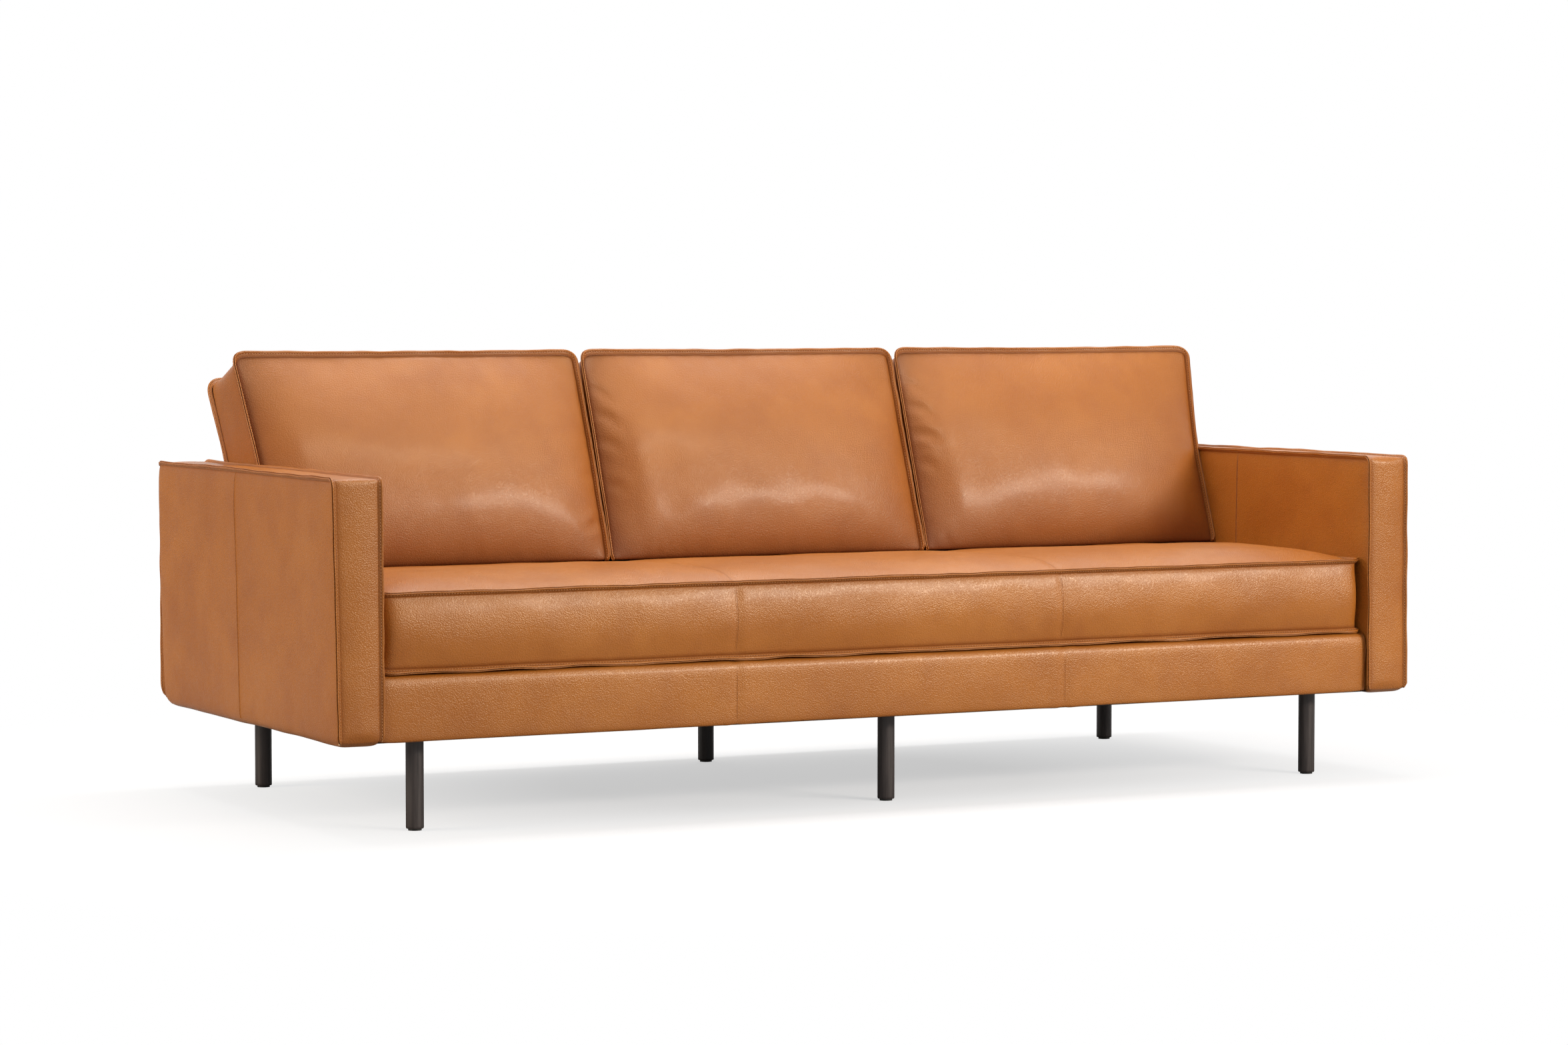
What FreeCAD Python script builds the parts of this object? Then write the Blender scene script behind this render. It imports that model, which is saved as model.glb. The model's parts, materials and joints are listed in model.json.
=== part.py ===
"""Three-seat leather sofa on six turned wooden legs, in millimetres.

The origin is on the floor under the middle of the sofa: +X is to the right seen from the
front, -Y is the front and +Z is up.  Profiles are drawn in the plane of a side view: their
first number is the distance back from the front of the arms, and their second is the
height above the floor.
"""
import FreeCAD, Part
import Sketcher
import math
import os

doc = FreeCAD.newDocument("sofa")

# ---------------------------------------------------------------- driving dimensions
DIMENSIONS = {
    # whole sofa
    "sofa_width": 2260, "sofa_depth": 900, "arm_top": 622, "arm_width": 87,
    "base_height": 163,
    # front band under the seat cushion
    "band_top": 280, "band_recess": 11, "band_foam": 12,
    # low rear corner of the arms
    "heel_round": 36,
    # covers and paddings
    "leather": 2, "arm_foam": 10, "back_foam": 20, "top_foam": 10, "webbing": 2,
    "cloth": 1, "liner": 3,
    # timber
    "rail_thick": 28, "post_depth": 40, "arm_rail_height": 40, "top_rail_height": 18,
    "back_post_count": 4, "back_post_inset": 60,
    # seat cushion
    "seat_top": 430, "seat_length": 620, "seat_recess": 20, "seat_gap": 3,
    "seat_side_gap": 4, "seat_round": 14, "contact_gap": 0.5,
    # back cushions
    "recline": 20, "back_foot": 105, "back_thick": 150, "back_rise": 406,
    "back_side_gap": 0.8, "back_round": 18, "back_gap": 8,
    # springs
    "wire": 3.4, "clip_height": 6, "clip_length": 14, "clip_width": 18,
    "spring_spacing": 145, "spring_swing": 44, "spring_pitch": 27, "wire_clearance": 0.2,
    # straps across the back
    "strap_width": 60, "strap_count": 3,
    # legs
    "leg_diameter": 32, "leg_side_inset": 180, "leg_front_inset": 80, "leg_rear_inset": 75,
    "leg_round": 2, "glide_height": 3, "glide_diameter": 24,
    "bolt_diameter": 8, "bolt_in_leg": 35, "nut_diameter": 11, "nut_length": 10,
    "flange_diameter": 24, "flange_thick": 1.6, "block_thick": 30, "block_half": 40,
    "stretcher_gap": 6,
    # zips
    "zip_height": 12, "zip_end": 60, "slider_length": 16, "slider_thick": 4,
    "slider_gap": 0.3, "back_zip_up": 70,
}

sheet = doc.addObject("Spreadsheet::Sheet", "dims")
for row, (alias, number) in enumerate(DIMENSIONS.items(), start=1):
    sheet.set(f"A{row}", alias)
    sheet.set(f"B{row}", str(number))
    sheet.setAlias(f"B{row}", alias)
doc.recompute()


def size(alias):
    """A driving dimension as it stands in the sheet."""
    return float(sheet.get(alias))


# ---------------------------------------------------------------- shared places
HALF = "(dims.sofa_width / 2)"
INNER_HALF = "(dims.sofa_width / 2 - dims.arm_width)"
INNER_WIDTH = "(dims.sofa_width - 2 * dims.arm_width)"
FRAME_BASE = "(dims.base_height + dims.cloth)"
RAIL_TOP = "(dims.band_top - dims.leather - dims.band_foam)"
DECK_BASE = f"({RAIL_TOP} + dims.clip_height)"
SEAT_BASE = "(dims.band_top + dims.seat_gap)"
DECK_TOP = f"({SEAT_BASE} - dims.contact_gap)"
BACK_BASE = "(dims.seat_top + dims.contact_gap)"
RAIL_FRONT = "(dims.band_recess + dims.leather + dims.band_foam)"
RAIL_REAR = f"({RAIL_FRONT} + dims.rail_thick)"
LINER_FRONT = "(dims.sofa_depth - dims.leather - dims.liner)"
LINER_REAR = "(dims.sofa_depth - dims.leather)"
HEEL_INSIDE = "(dims.heel_round - dims.leather - dims.liner)"
COVER_TOP = "(dims.arm_top - dims.leather)"
TOP_PAD_BASE = f"({COVER_TOP} - dims.top_foam)"
TOP_RAIL_BASE = f"({TOP_PAD_BASE} - dims.top_rail_height)"
LEG_X = f"({HALF} - dims.leg_side_inset)"
LEG_FRONT = "dims.leg_front_inset"
LEG_REAR = "(dims.sofa_depth - dims.leg_rear_inset)"
BLOCK_TOP = f"({FRAME_BASE} + dims.block_thick)"
SEAT_REAR = "(dims.seat_recess + dims.seat_length)"
BACK_CUSHION_WIDTH = f"({INNER_WIDTH} / 3 - 2 * dims.back_side_gap)"

# layers behind the back cushions, measured square to their slope
COVER_FACE = "(dims.back_thick + dims.back_gap)"
PAD_FACE = f"({COVER_FACE} + dims.leather)"
STRAP_FACE = f"({PAD_FACE} + dims.back_foam)"
POST_FACE = f"({STRAP_FACE} + dims.webbing)"


# the back cushions' front foot, measured forward from the seat cushion's rear end
BACK_FOOT = "(dims.seat_recess + dims.seat_length - dims.back_foot)"


def slope(behind, height):
    """Point at a height on the plane that lies so far behind the back cushions' front."""
    back = f"({BACK_FOOT} + {behind} / cos(dims.recline) + ({height} - {BACK_BASE}) * tan(dims.recline))"
    return back, height


def lean(up, behind):
    """Point so far up the slope of the back cushions and so far behind their front."""
    back = f"({BACK_FOOT} + {up} * sin(dims.recline) + {behind} * cos(dims.recline))"
    height = f"({BACK_BASE} + {up} * cos(dims.recline) - {behind} * sin(dims.recline))"
    return back, height


def plan(back):
    """Y of something so far back from the front of the arms."""
    return f"({back} - dims.sofa_depth / 2)"


# ---------------------------------------------------------------- building helpers
def place(item, x="0", y="0", z="0"):
    """Bind an object's position to the sheet."""
    for axis, expression in zip("xyz", (x, y, z)):
        item.setExpression(f"Placement.Base.{axis}", expression)
    return item


def origin_plane(body, role):
    return next(f for f in body.Origin.OriginFeatures if f.Role == role)


def block(name, low, extent):
    """Rectangular piece: x, distance back and height of its low corner, and its extent."""
    item = doc.addObject("Part::Box", name)
    for prop, expression in zip(("Length", "Width", "Height"), extent):
        item.setExpression(prop, expression)
    return place(item, low[0], plan(low[1]), low[2])


def polygon(sketch, points):
    """Closed outline whose corners are bound to (distance back, height) expressions."""
    numbers = [tuple(float(sheet.evalExpression(e)) for e in point) for point in points]
    corners = [FreeCAD.Vector(a, b, 0) for a, b in numbers]
    for i, corner in enumerate(corners):
        sketch.addGeometry(Part.LineSegment(corner, corners[(i + 1) % len(corners)]))
    for i in range(len(corners)):
        sketch.addConstraint(Sketcher.Constraint("Coincident", i, 2, (i + 1) % len(corners), 1))
    for i, (point, number) in enumerate(zip(points, numbers)):
        for kind, expression, value in zip(("DistanceX", "DistanceY"), point, number):
            index = sketch.addConstraint(Sketcher.Constraint(kind, -1, 1, i, 1, value))
            sketch.setExpression(f"Constraints[{index}]", expression)


def prism(name, points, start, length):
    """Body with a side-view outline, padded along X from a start."""
    body = doc.addObject("PartDesign::Body", name)
    sketch = body.newObject("Sketcher::SketchObject", f"{name}_outline")
    sketch.AttachmentSupport = (origin_plane(body, "YZ_Plane"), [""])
    sketch.MapMode = "FlatFace"
    polygon(sketch, points)
    pad = body.newObject("PartDesign::Pad", f"{name}_pad")
    pad.Profile = sketch
    pad.setExpression("Length", length)
    place(body, start, plan("0"))
    doc.recompute()
    return body


def round_edges(item, radius, chosen):
    """Fillet the edges of an object that a test picks."""
    doc.recompute()
    edges = [i for i, edge in enumerate(item.Shape.Edges, start=1) if chosen(edge)]
    value = float(sheet.evalExpression(radius))
    fillet = doc.addObject("Part::Fillet", f"{item.Name}_rounded")
    fillet.Base = item
    fillet.Edges = [(i, value, value) for i in edges]
    doc.recompute()
    return fillet


def at_rear_foot(item):
    """Test for the edge along X at the low rear of an object."""
    doc.recompute()
    box = item.Shape.BoundBox

    def chosen(edge):
        reach = edge.BoundBox
        return reach.YMin > box.YMax - 1e-3 and reach.ZMax < box.ZMin + 1e-3

    return chosen


def at_low_sides(item):
    """Test for the edges along Y at the two low corners of an upright board."""
    doc.recompute()
    box = item.Shape.BoundBox

    def chosen(edge):
        reach = edge.BoundBox
        outside = reach.XMax < box.XMin + 1e-3 or reach.XMin > box.XMax - 1e-3
        return outside and reach.ZMax < box.ZMin + 1e-3

    return chosen


def at_rear_sides(item):
    """Test for the edges along Z at the two rear corners of a level sheet."""
    doc.recompute()
    box = item.Shape.BoundBox

    def chosen(edge):
        reach = edge.BoundBox
        outside = reach.XMax < box.XMin + 1e-3 or reach.XMin > box.XMax - 1e-3
        return outside and reach.YMin > box.YMax - 1e-3

    return chosen


def cut(name, base, tool):
    item = doc.addObject("Part::Cut", name)
    item.Base = base
    item.Tool = tool
    doc.recompute()
    return item


def joined(name, items):
    """Sub-part made of several separate solids."""
    group = doc.addObject("Part::Compound", name)
    group.Links = items
    doc.recompute()
    return node(name, group)


def along_x(edge):
    """Whether an edge runs along X."""
    box = edge.BoundBox
    return box.XLength > 10 * (box.YLength + box.ZLength)


def pattern(body, features, role, length, count, second=None):
    """Repeat features along an axis of the body, and along a second one if given."""
    repeat = body.newObject("PartDesign::LinearPattern", f"{body.Name}_row")
    repeat.Originals = features
    repeat.Direction = (origin_plane(body, role), [""])
    repeat.setExpression("Length", length)
    repeat.setExpression("Occurrences", count)
    if second:
        repeat.Direction2 = (origin_plane(body, second[0]), [""])
        repeat.setExpression("Length2", second[1])
        repeat.setExpression("Occurrences2", second[2])
    body.Tip = repeat
    doc.recompute()
    return repeat


nodes = {}


def node(name, item):
    """Register a finished sub-part under the name of its file."""
    item.Label = name
    nodes[name] = item
    return item


# ---------------------------------------------------------------- timber frame
def build_rails():
    """Long timbers between the arms, and the stretcher that ties them at the middle."""
    rail_height = f"{RAIL_TOP} - {FRAME_BASE}"
    spring_rail_rear = slope(POST_FACE, RAIL_TOP)[0]
    starts = {
        "front_rail": RAIL_FRONT,
        "spring_rail": f"({spring_rail_rear} - dims.rail_thick)",
        "rear_rail": f"({LINER_FRONT} - dims.rail_thick)",
    }
    for name, back in starts.items():
        low = (f"-{INNER_HALF}", back, FRAME_BASE)
        node(name, block(name, low, (INNER_WIDTH, "dims.rail_thick", rail_height)))
    stretcher_base = f"({BLOCK_TOP} + dims.stretcher_gap)"
    node("centre_stretcher", block(
        "centre_stretcher",
        ("-dims.rail_thick / 2", RAIL_REAR, stretcher_base),
        ("dims.rail_thick", f"{starts['spring_rail']} - {RAIL_REAR}", f"{RAIL_TOP} - {stretcher_base}")))


def build_leg_blocks():
    """Six blocks behind the front rail and before the rear rail, bored for the tee nuts."""
    rear_rail_front = f"({LINER_FRONT} - dims.rail_thick)"
    rows = []
    for row, back, front_face, rear_face in (
            ("front", LEG_FRONT, RAIL_REAR, f"({LEG_FRONT} + dims.block_half)"),
            ("rear", LEG_REAR, f"({LEG_REAR} - dims.block_half)", rear_rail_front)):
        body = doc.addObject("PartDesign::Body", f"leg_blocks_{row}")
        body.AllowCompound = True
        box = body.newObject("PartDesign::AdditiveBox", f"leg_block_{row}")
        box.setExpression("Length", "2 * dims.block_half")
        box.setExpression("Width", f"{rear_face} - {front_face}")
        box.setExpression("Height", "dims.block_thick")
        place(box, f"-{LEG_X} - dims.block_half", plan(front_face), FRAME_BASE)
        bore = body.newObject("PartDesign::SubtractiveCylinder", f"leg_block_bore_{row}")
        bore.setExpression("Radius", "dims.nut_diameter / 2")
        bore.setExpression("Height", "dims.block_thick")
        place(bore, f"-{LEG_X}", plan(back), FRAME_BASE)
        doc.recompute()
        pattern(body, [box, bore], "X_Axis", f"2 * {LEG_X}", "3")
        rows.append(body)
    joined("leg_blocks", rows)


def build_arm_frame(side, sign):
    """Two posts with a rail over them and a rail between their feet."""
    padding = "(dims.leather + dims.arm_foam)"
    width = f"(dims.arm_width - 2 * {padding})"
    low_x = f"({sign} * ({HALF} - dims.arm_width / 2) - {width} / 2)"
    front = padding
    rear_post = f"({LINER_FRONT} - dims.post_depth)"
    rail_base = f"({COVER_TOP} - dims.arm_foam - dims.arm_rail_height)"
    post_size = (width, "dims.post_depth", f"{rail_base} - {FRAME_BASE}")
    pieces = {
        "front_post": ((low_x, front, FRAME_BASE), post_size),
        "rear_post": ((low_x, rear_post, FRAME_BASE), post_size),
        "top_rail": ((low_x, front, rail_base), (width, f"{LINER_FRONT} - {front}", "dims.arm_rail_height")),
        "foot_rail": ((low_x, f"({front} + dims.post_depth)", FRAME_BASE),
                      (width, f"{rear_post} - {front} - dims.post_depth", f"{RAIL_TOP} - {FRAME_BASE}")),
    }
    for piece, (low, extent) in pieces.items():
        name = f"{side}_arm_{piece}"
        if piece == "rear_post":
            square = block(f"{name}_square", low, extent)
            node(name, round_edges(square, HEEL_INSIDE, at_rear_foot(square)))
        else:
            node(name, block(name, low, extent))


def build_back_frame():
    """Slanted uprights on the rails, the rail over them, and straps across their fronts."""
    body = prism("back_posts",
                 [slope(POST_FACE, RAIL_TOP), slope(POST_FACE, TOP_RAIL_BASE),
                  (LINER_FRONT, TOP_RAIL_BASE), (LINER_FRONT, RAIL_TOP)],
                 f"-{INNER_HALF} + dims.back_post_inset", "dims.rail_thick")
    body.AllowCompound = True
    pattern(body, [body.Tip], "X_Axis",
            f"{INNER_WIDTH} - 2 * dims.back_post_inset - dims.rail_thick", "dims.back_post_count")
    node("back_posts", body)
    node("back_top_rail", prism(
        "back_top_rail",
        [slope(POST_FACE, TOP_RAIL_BASE), slope(POST_FACE, TOP_PAD_BASE),
         (LINER_FRONT, TOP_PAD_BASE), (LINER_FRONT, TOP_RAIL_BASE)],
        f"-{INNER_HALF}", INNER_WIDTH))
    straps = []
    count = int(size("strap_count"))
    for i in range(count):
        middle = f"({DECK_BASE} + ({TOP_RAIL_BASE} - {DECK_BASE}) * {2 * i + 1} / {2 * count})"
        low = f"({middle} - dims.strap_width / 2)"
        high = f"({middle} + dims.strap_width / 2)"
        straps.append(prism(
            f"back_strap_{i + 1}",
            [slope(STRAP_FACE, low), slope(STRAP_FACE, high), slope(POST_FACE, high), slope(POST_FACE, low)],
            f"-{INNER_HALF}", INNER_WIDTH))
    joined("back_straps", straps)


# ---------------------------------------------------------------- springs and deck
def spring_places():
    """X of each spring, evenly spread over the inside width."""
    inside = size("sofa_width") - 2 * size("arm_width")
    count = max(2, int(inside // size("spring_spacing")))
    pitch = inside / count
    return [pitch * (i + 0.5) - inside / 2 for i in range(count)]


def build_springs():
    """Zigzag seat springs of round wire, held at both rails in clips."""
    height = float(sheet.evalExpression(f"{RAIL_TOP} + dims.clip_height / 2"))
    front = float(sheet.evalExpression(plan(f"{RAIL_REAR} - dims.clip_length")))
    rear_clip = f"({slope(POST_FACE, RAIL_TOP)[0]} - dims.rail_thick)"
    rear = float(sheet.evalExpression(plan(f"{rear_clip} + dims.clip_length")))
    clip = size("clip_length")
    swing = size("spring_swing") / 2
    first = front + 2 * clip
    last = rear - 2 * clip
    turns = 2 * round((last - first) / size("spring_pitch") / 2)
    step = (last - first) / turns
    bend = step / 2
    springs = []
    for x in spring_places():
        # the wire leaves its clip straight, then crosses from side to side
        points = [(x, front), (x, first)]
        for i in range(turns):
            side = swing if i % 2 == 0 else -swing
            points += [(x + side, first + i * step), (x + side, first + (i + 1) * step)]
        points += [(x, last), (x, rear)]
        edges = []
        start = FreeCAD.Vector(*points[0], height)
        for i in range(1, len(points) - 1):
            corner = FreeCAD.Vector(*points[i], height)
            into = (corner - FreeCAD.Vector(*points[i - 1], height)).normalize()
            out = (FreeCAD.Vector(*points[i + 1], height) - corner).normalize()
            reach = bend * 0.98
            begin = corner - into * reach
            end = corner + out * reach
            middle = corner + (out - into) * (reach * (1 - math.sqrt(0.5)))
            edges.append(Part.LineSegment(start, begin).toShape())
            edges.append(Part.Arc(begin, middle, end).toShape())
            start = end
        edges.append(Part.LineSegment(start, FreeCAD.Vector(*points[-1], height)).toShape())
        path = Part.Wire(edges)
        ring = Part.Circle(FreeCAD.Vector(*points[0], height), FreeCAD.Vector(0, 1, 0), size("wire") / 2)
        springs.append(path.makePipeShell([Part.Wire(ring.toShape())], True, True))
    group = doc.addObject("Part::Feature", "seat_springs")
    group.Shape = Part.makeCompound(springs)
    node("seat_springs", group)


def build_spring_clips():
    """A bored clip at each end of each spring, on top of the front and spring rails."""
    places = spring_places()
    body = doc.addObject("PartDesign::Body", "spring_clips")
    body.AllowCompound = True
    sketch = body.newObject("Sketcher::SketchObject", "clip_outline")
    sketch.AttachmentSupport = (origin_plane(body, "XZ_Plane"), [""])
    sketch.MapMode = "FlatFace"
    polygon(sketch, [("0", "0"), ("dims.clip_width", "0"), ("dims.clip_width", "dims.clip_height"),
                     ("0", "dims.clip_height")])
    middle = FreeCAD.Vector(size("clip_width") / 2, size("clip_height") / 2, 0)
    bore = sketch.addGeometry(Part.Circle(middle, FreeCAD.Vector(0, 0, 1), size("wire")))
    bindings = (("DistanceX", "dims.clip_width / 2", (-1, 1, bore, 3, middle.x)),
                ("DistanceY", "dims.clip_height / 2", (-1, 1, bore, 3, middle.y)),
                ("Radius", "dims.wire / 2 + dims.wire_clearance", (bore, size("wire"))))
    for kind, expression, terms in bindings:
        index = sketch.addConstraint(Sketcher.Constraint(kind, *terms))
        sketch.setExpression(f"Constraints[{index}]", expression)
    pad = body.newObject("PartDesign::Pad", "clip_pad")
    pad.Profile = sketch
    pad.Reversed = True
    pad.setExpression("Length", "dims.clip_length")
    place(body, f"{places[0]} - dims.clip_width / 2", plan(f"{RAIL_REAR} - dims.clip_length"), RAIL_TOP)
    doc.recompute()
    rear_clip = f"({slope(POST_FACE, RAIL_TOP)[0]} - dims.rail_thick)"
    pattern(body, [pad], "X_Axis", f"{places[-1] - places[0]}", f"{len(places)}",
            ("Y_Axis", f"{rear_clip} - {RAIL_REAR} + dims.clip_length", "2"))
    node("spring_clips", body)


def build_deck():
    """Cloth over the springs and the thin pad that the seat cushion rests on."""
    lip = f"({RAIL_REAR} - dims.clip_length)"
    rear = f"({slope(COVER_FACE, DECK_BASE)[0]} - dims.contact_gap)"
    span = f"{rear} - {lip}"
    pad_base = f"({DECK_BASE} + dims.cloth)"
    node("seat_deck_cloth", block("seat_deck_cloth", (f"-{INNER_HALF}", lip, DECK_BASE),
                                  (INNER_WIDTH, span, "dims.cloth")))
    node("seat_deck_pad", block("seat_deck_pad", (f"-{INNER_HALF}", lip, pad_base),
                                (INNER_WIDTH, span, f"{DECK_TOP} - {pad_base}")))


# ---------------------------------------------------------------- upholstery of the frame
def build_arm_cover(side, sign):
    """Foam over the arm's timbers, its outer and inner leather panels, and the edge strip."""
    def span(inset, thickness):
        """Low X of a layer that lies so far inside the arm's outer face."""
        if sign > 0:
            return f"({HALF} - {inset} - {thickness})"
        return f"(-{HALF} + {inset})"

    shell_width = "(dims.arm_width - 2 * dims.leather)"
    cavity_inset = "(dims.leather + dims.arm_foam)"
    cavity_width = f"(dims.arm_width - 2 * {cavity_inset})"
    solid = block(f"{side}_arm_pad_outside", (span("dims.leather", shell_width), "dims.leather", FRAME_BASE),
                  (shell_width, f"{LINER_FRONT} - dims.leather", f"{COVER_TOP} - {FRAME_BASE}"))
    solid = round_edges(solid, HEEL_INSIDE, at_rear_foot(solid))
    cavity = block(f"{side}_arm_pad_inside", (span(cavity_inset, cavity_width), cavity_inset, FRAME_BASE),
                   (cavity_width, f"{LINER_FRONT} - {cavity_inset}",
                    f"{COVER_TOP} - dims.arm_foam - {FRAME_BASE}"))
    node(f"{side}_arm_padding", cut(f"{side}_arm_padding", solid, cavity))

    outer = block(f"{side}_arm_outer_square", (span("0", "dims.leather"), "0", "dims.base_height"),
                  ("dims.leather", "dims.sofa_depth", "dims.arm_top - dims.base_height"))
    node(f"{side}_arm_outer_panel", round_edges(outer, "dims.heel_round", at_rear_foot(outer)))
    inner_inset = "(dims.arm_width - dims.leather)"
    inner = block(f"{side}_arm_inner_square", (span(inner_inset, "dims.leather"), "0", FRAME_BASE),
                  ("dims.leather", LINER_FRONT, f"dims.arm_top - {FRAME_BASE}"))
    node(f"{side}_arm_inner_panel", round_edges(inner, HEEL_INSIDE, at_rear_foot(inner)))
    node(f"{side}_arm_edge_strip", prism(
        f"{side}_arm_edge_strip",
        [("0", "dims.base_height"), ("0", "dims.arm_top"), ("dims.sofa_depth", "dims.arm_top"),
         ("dims.sofa_depth", COVER_TOP), ("dims.leather", COVER_TOP), ("dims.leather", "dims.base_height")],
        span("dims.leather", shell_width), shell_width))


def build_front_band():
    """Padding over the front rail and the three leather panels sewn end to end over it."""
    lip = f"({RAIL_REAR} - dims.clip_length)"
    face = "(dims.band_recess + dims.leather)"
    pad_top = "(dims.band_top - dims.leather)"
    node("front_band_padding", prism(
        "front_band_padding",
        [(face, FRAME_BASE), (face, pad_top), (lip, pad_top), (lip, RAIL_TOP),
         (RAIL_FRONT, RAIL_TOP), (RAIL_FRONT, FRAME_BASE)],
        f"-{INNER_HALF}", INNER_WIDTH))
    outline = [("dims.band_recess", "dims.base_height"), ("dims.band_recess", "dims.band_top"),
               (lip, "dims.band_top"), (lip, pad_top), (face, pad_top), (face, "dims.base_height")]
    panels = [prism(f"front_band_panel_{i + 1}", outline, f"{INNER_WIDTH} * {i} / 3 - {INNER_HALF}",
                    f"{INNER_WIDTH} / 3") for i in range(3)]
    joined("front_band_cover", panels)


def build_back_cover():
    """Inside back with its foam, and the outside back with its fibreboard liner."""
    node("inside_back_padding", prism(
        "inside_back_padding",
        [slope(PAD_FACE, DECK_BASE), slope(PAD_FACE, COVER_TOP), (LINER_REAR, COVER_TOP),
         (LINER_REAR, TOP_PAD_BASE), slope(STRAP_FACE, TOP_PAD_BASE), slope(STRAP_FACE, DECK_BASE)],
        f"-{INNER_HALF}", INNER_WIDTH))
    node("inside_back_cover", prism(
        "inside_back_cover",
        [slope(COVER_FACE, DECK_BASE), slope(COVER_FACE, "dims.arm_top"), ("dims.sofa_depth", "dims.arm_top"),
         ("dims.sofa_depth", COVER_TOP), slope(PAD_FACE, COVER_TOP), slope(PAD_FACE, DECK_BASE)],
        f"-{INNER_HALF}", INNER_WIDTH))
    inside_leather = f"({HALF} - dims.leather)"
    board = block("back_board_square", (f"-{inside_leather}", LINER_FRONT, FRAME_BASE),
                  (f"2 * {inside_leather}", "dims.liner", f"{TOP_PAD_BASE} - {FRAME_BASE}"))
    node("outside_back_liner", round_edges(board, "dims.heel_round", at_low_sides(board)))
    panel = block("back_panel_square", (f"-{inside_leather}", LINER_REAR, "dims.base_height"),
                  (f"2 * {inside_leather}", "dims.leather", f"{COVER_TOP} - dims.base_height"))
    node("outside_back_panel", round_edges(panel, "dims.heel_round", at_low_sides(panel)))


def build_dust_cover():
    """Cloth closing the underside, with a hole for each leg's bolt."""
    front = "(dims.band_recess + dims.leather)"
    inside_leather = f"({HALF} - dims.leather)"
    cloth = block("dust_cloth", (f"-{inside_leather}", front, "dims.base_height"),
                  (f"2 * {inside_leather}", f"{LINER_REAR} - {front}", "dims.cloth"))
    cloth = round_edges(cloth, "dims.heel_round", at_rear_sides(cloth))
    holes = doc.addObject("PartDesign::Body", "dust_holes")
    holes.AllowCompound = True
    hole = holes.newObject("PartDesign::AdditiveCylinder", "dust_hole")
    hole.setExpression("Radius", "dims.nut_diameter / 2")
    hole.setExpression("Height", "dims.cloth")
    place(hole, f"-{LEG_X}", plan(LEG_FRONT), "dims.base_height")
    doc.recompute()
    pattern(holes, [hole], "X_Axis", f"2 * {LEG_X}", "3", ("Y_Axis", f"{LEG_REAR} - {LEG_FRONT}", "2"))
    node("dust_cover", cut("dust_cover", cloth, holes))


# ---------------------------------------------------------------- legs
def six(name, radius, base, height):
    """Group of six upright cylinders, one on the axis of each leg."""
    body = doc.addObject("PartDesign::Body", name)
    body.AllowCompound = True
    pin = body.newObject("PartDesign::AdditiveCylinder", f"{name}_one")
    pin.setExpression("Radius", radius)
    pin.setExpression("Height", height)
    place(pin, f"-{LEG_X}", plan(LEG_FRONT), base)
    doc.recompute()
    pattern(body, [pin], "X_Axis", f"2 * {LEG_X}", "3", ("Y_Axis", f"{LEG_REAR} - {LEG_FRONT}", "2"))
    return body


def build_legs():
    """Turned legs, each bored from the top for its bolt and eased round its foot."""
    rows = {"front": LEG_FRONT, "rear": LEG_REAR}
    columns = {"left": f"-{LEG_X}", "centre": "0", "right": LEG_X}
    for row, back in rows.items():
        for column, x in columns.items():
            name = f"{row}_{column}_leg"
            body = doc.addObject("PartDesign::Body", name)
            turned = body.newObject("PartDesign::AdditiveCylinder", f"{name}_turned")
            turned.setExpression("Radius", "dims.leg_diameter / 2")
            turned.setExpression("Height", "dims.base_height - dims.glide_height")
            doc.recompute()
            foot = next(f"Edge{i}" for i, edge in enumerate(turned.Shape.Edges, start=1)
                        if edge.BoundBox.ZMax < 0.01)
            eased = body.newObject("PartDesign::Fillet", f"{name}_eased")
            eased.Base = (turned, [foot])
            eased.setExpression("Radius", "dims.leg_round")
            bore = body.newObject("PartDesign::SubtractiveCylinder", f"{name}_bore")
            bore.setExpression("Radius", "dims.bolt_diameter / 2")
            bore.setExpression("Height", "dims.bolt_in_leg")
            place(bore, z="dims.base_height - dims.glide_height - dims.bolt_in_leg")
            place(body, x, plan(back), "dims.glide_height")
            node(name, body)


def build_leg_hardware():
    """Glides under the legs, the bolts in them and the tee nuts in the blocks."""
    node("leg_glides", six("leg_glides", "dims.glide_diameter / 2", "0", "dims.glide_height"))
    bolt_base = "(dims.base_height - dims.bolt_in_leg)"
    node("leg_bolts", six("leg_bolts", "dims.bolt_diameter / 2", bolt_base, f"{BLOCK_TOP} - {bolt_base}"))
    nut_base = f"({BLOCK_TOP} - dims.nut_length)"
    barrel = six("tee_nut_barrels", "dims.nut_diameter / 2", nut_base, "dims.nut_length")
    flange = six("tee_nut_flanges", "dims.flange_diameter / 2", BLOCK_TOP, "dims.flange_thick")
    whole = doc.addObject("Part::MultiFuse", "tee_nut_blanks")
    whole.Shapes = [barrel, flange]
    bore_height = "dims.nut_length + dims.flange_thick"
    bores = six("tee_nut_bores", "dims.bolt_diameter / 2", nut_base, bore_height)
    node("tee_nuts", cut("tee_nuts", whole, bores))


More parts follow.
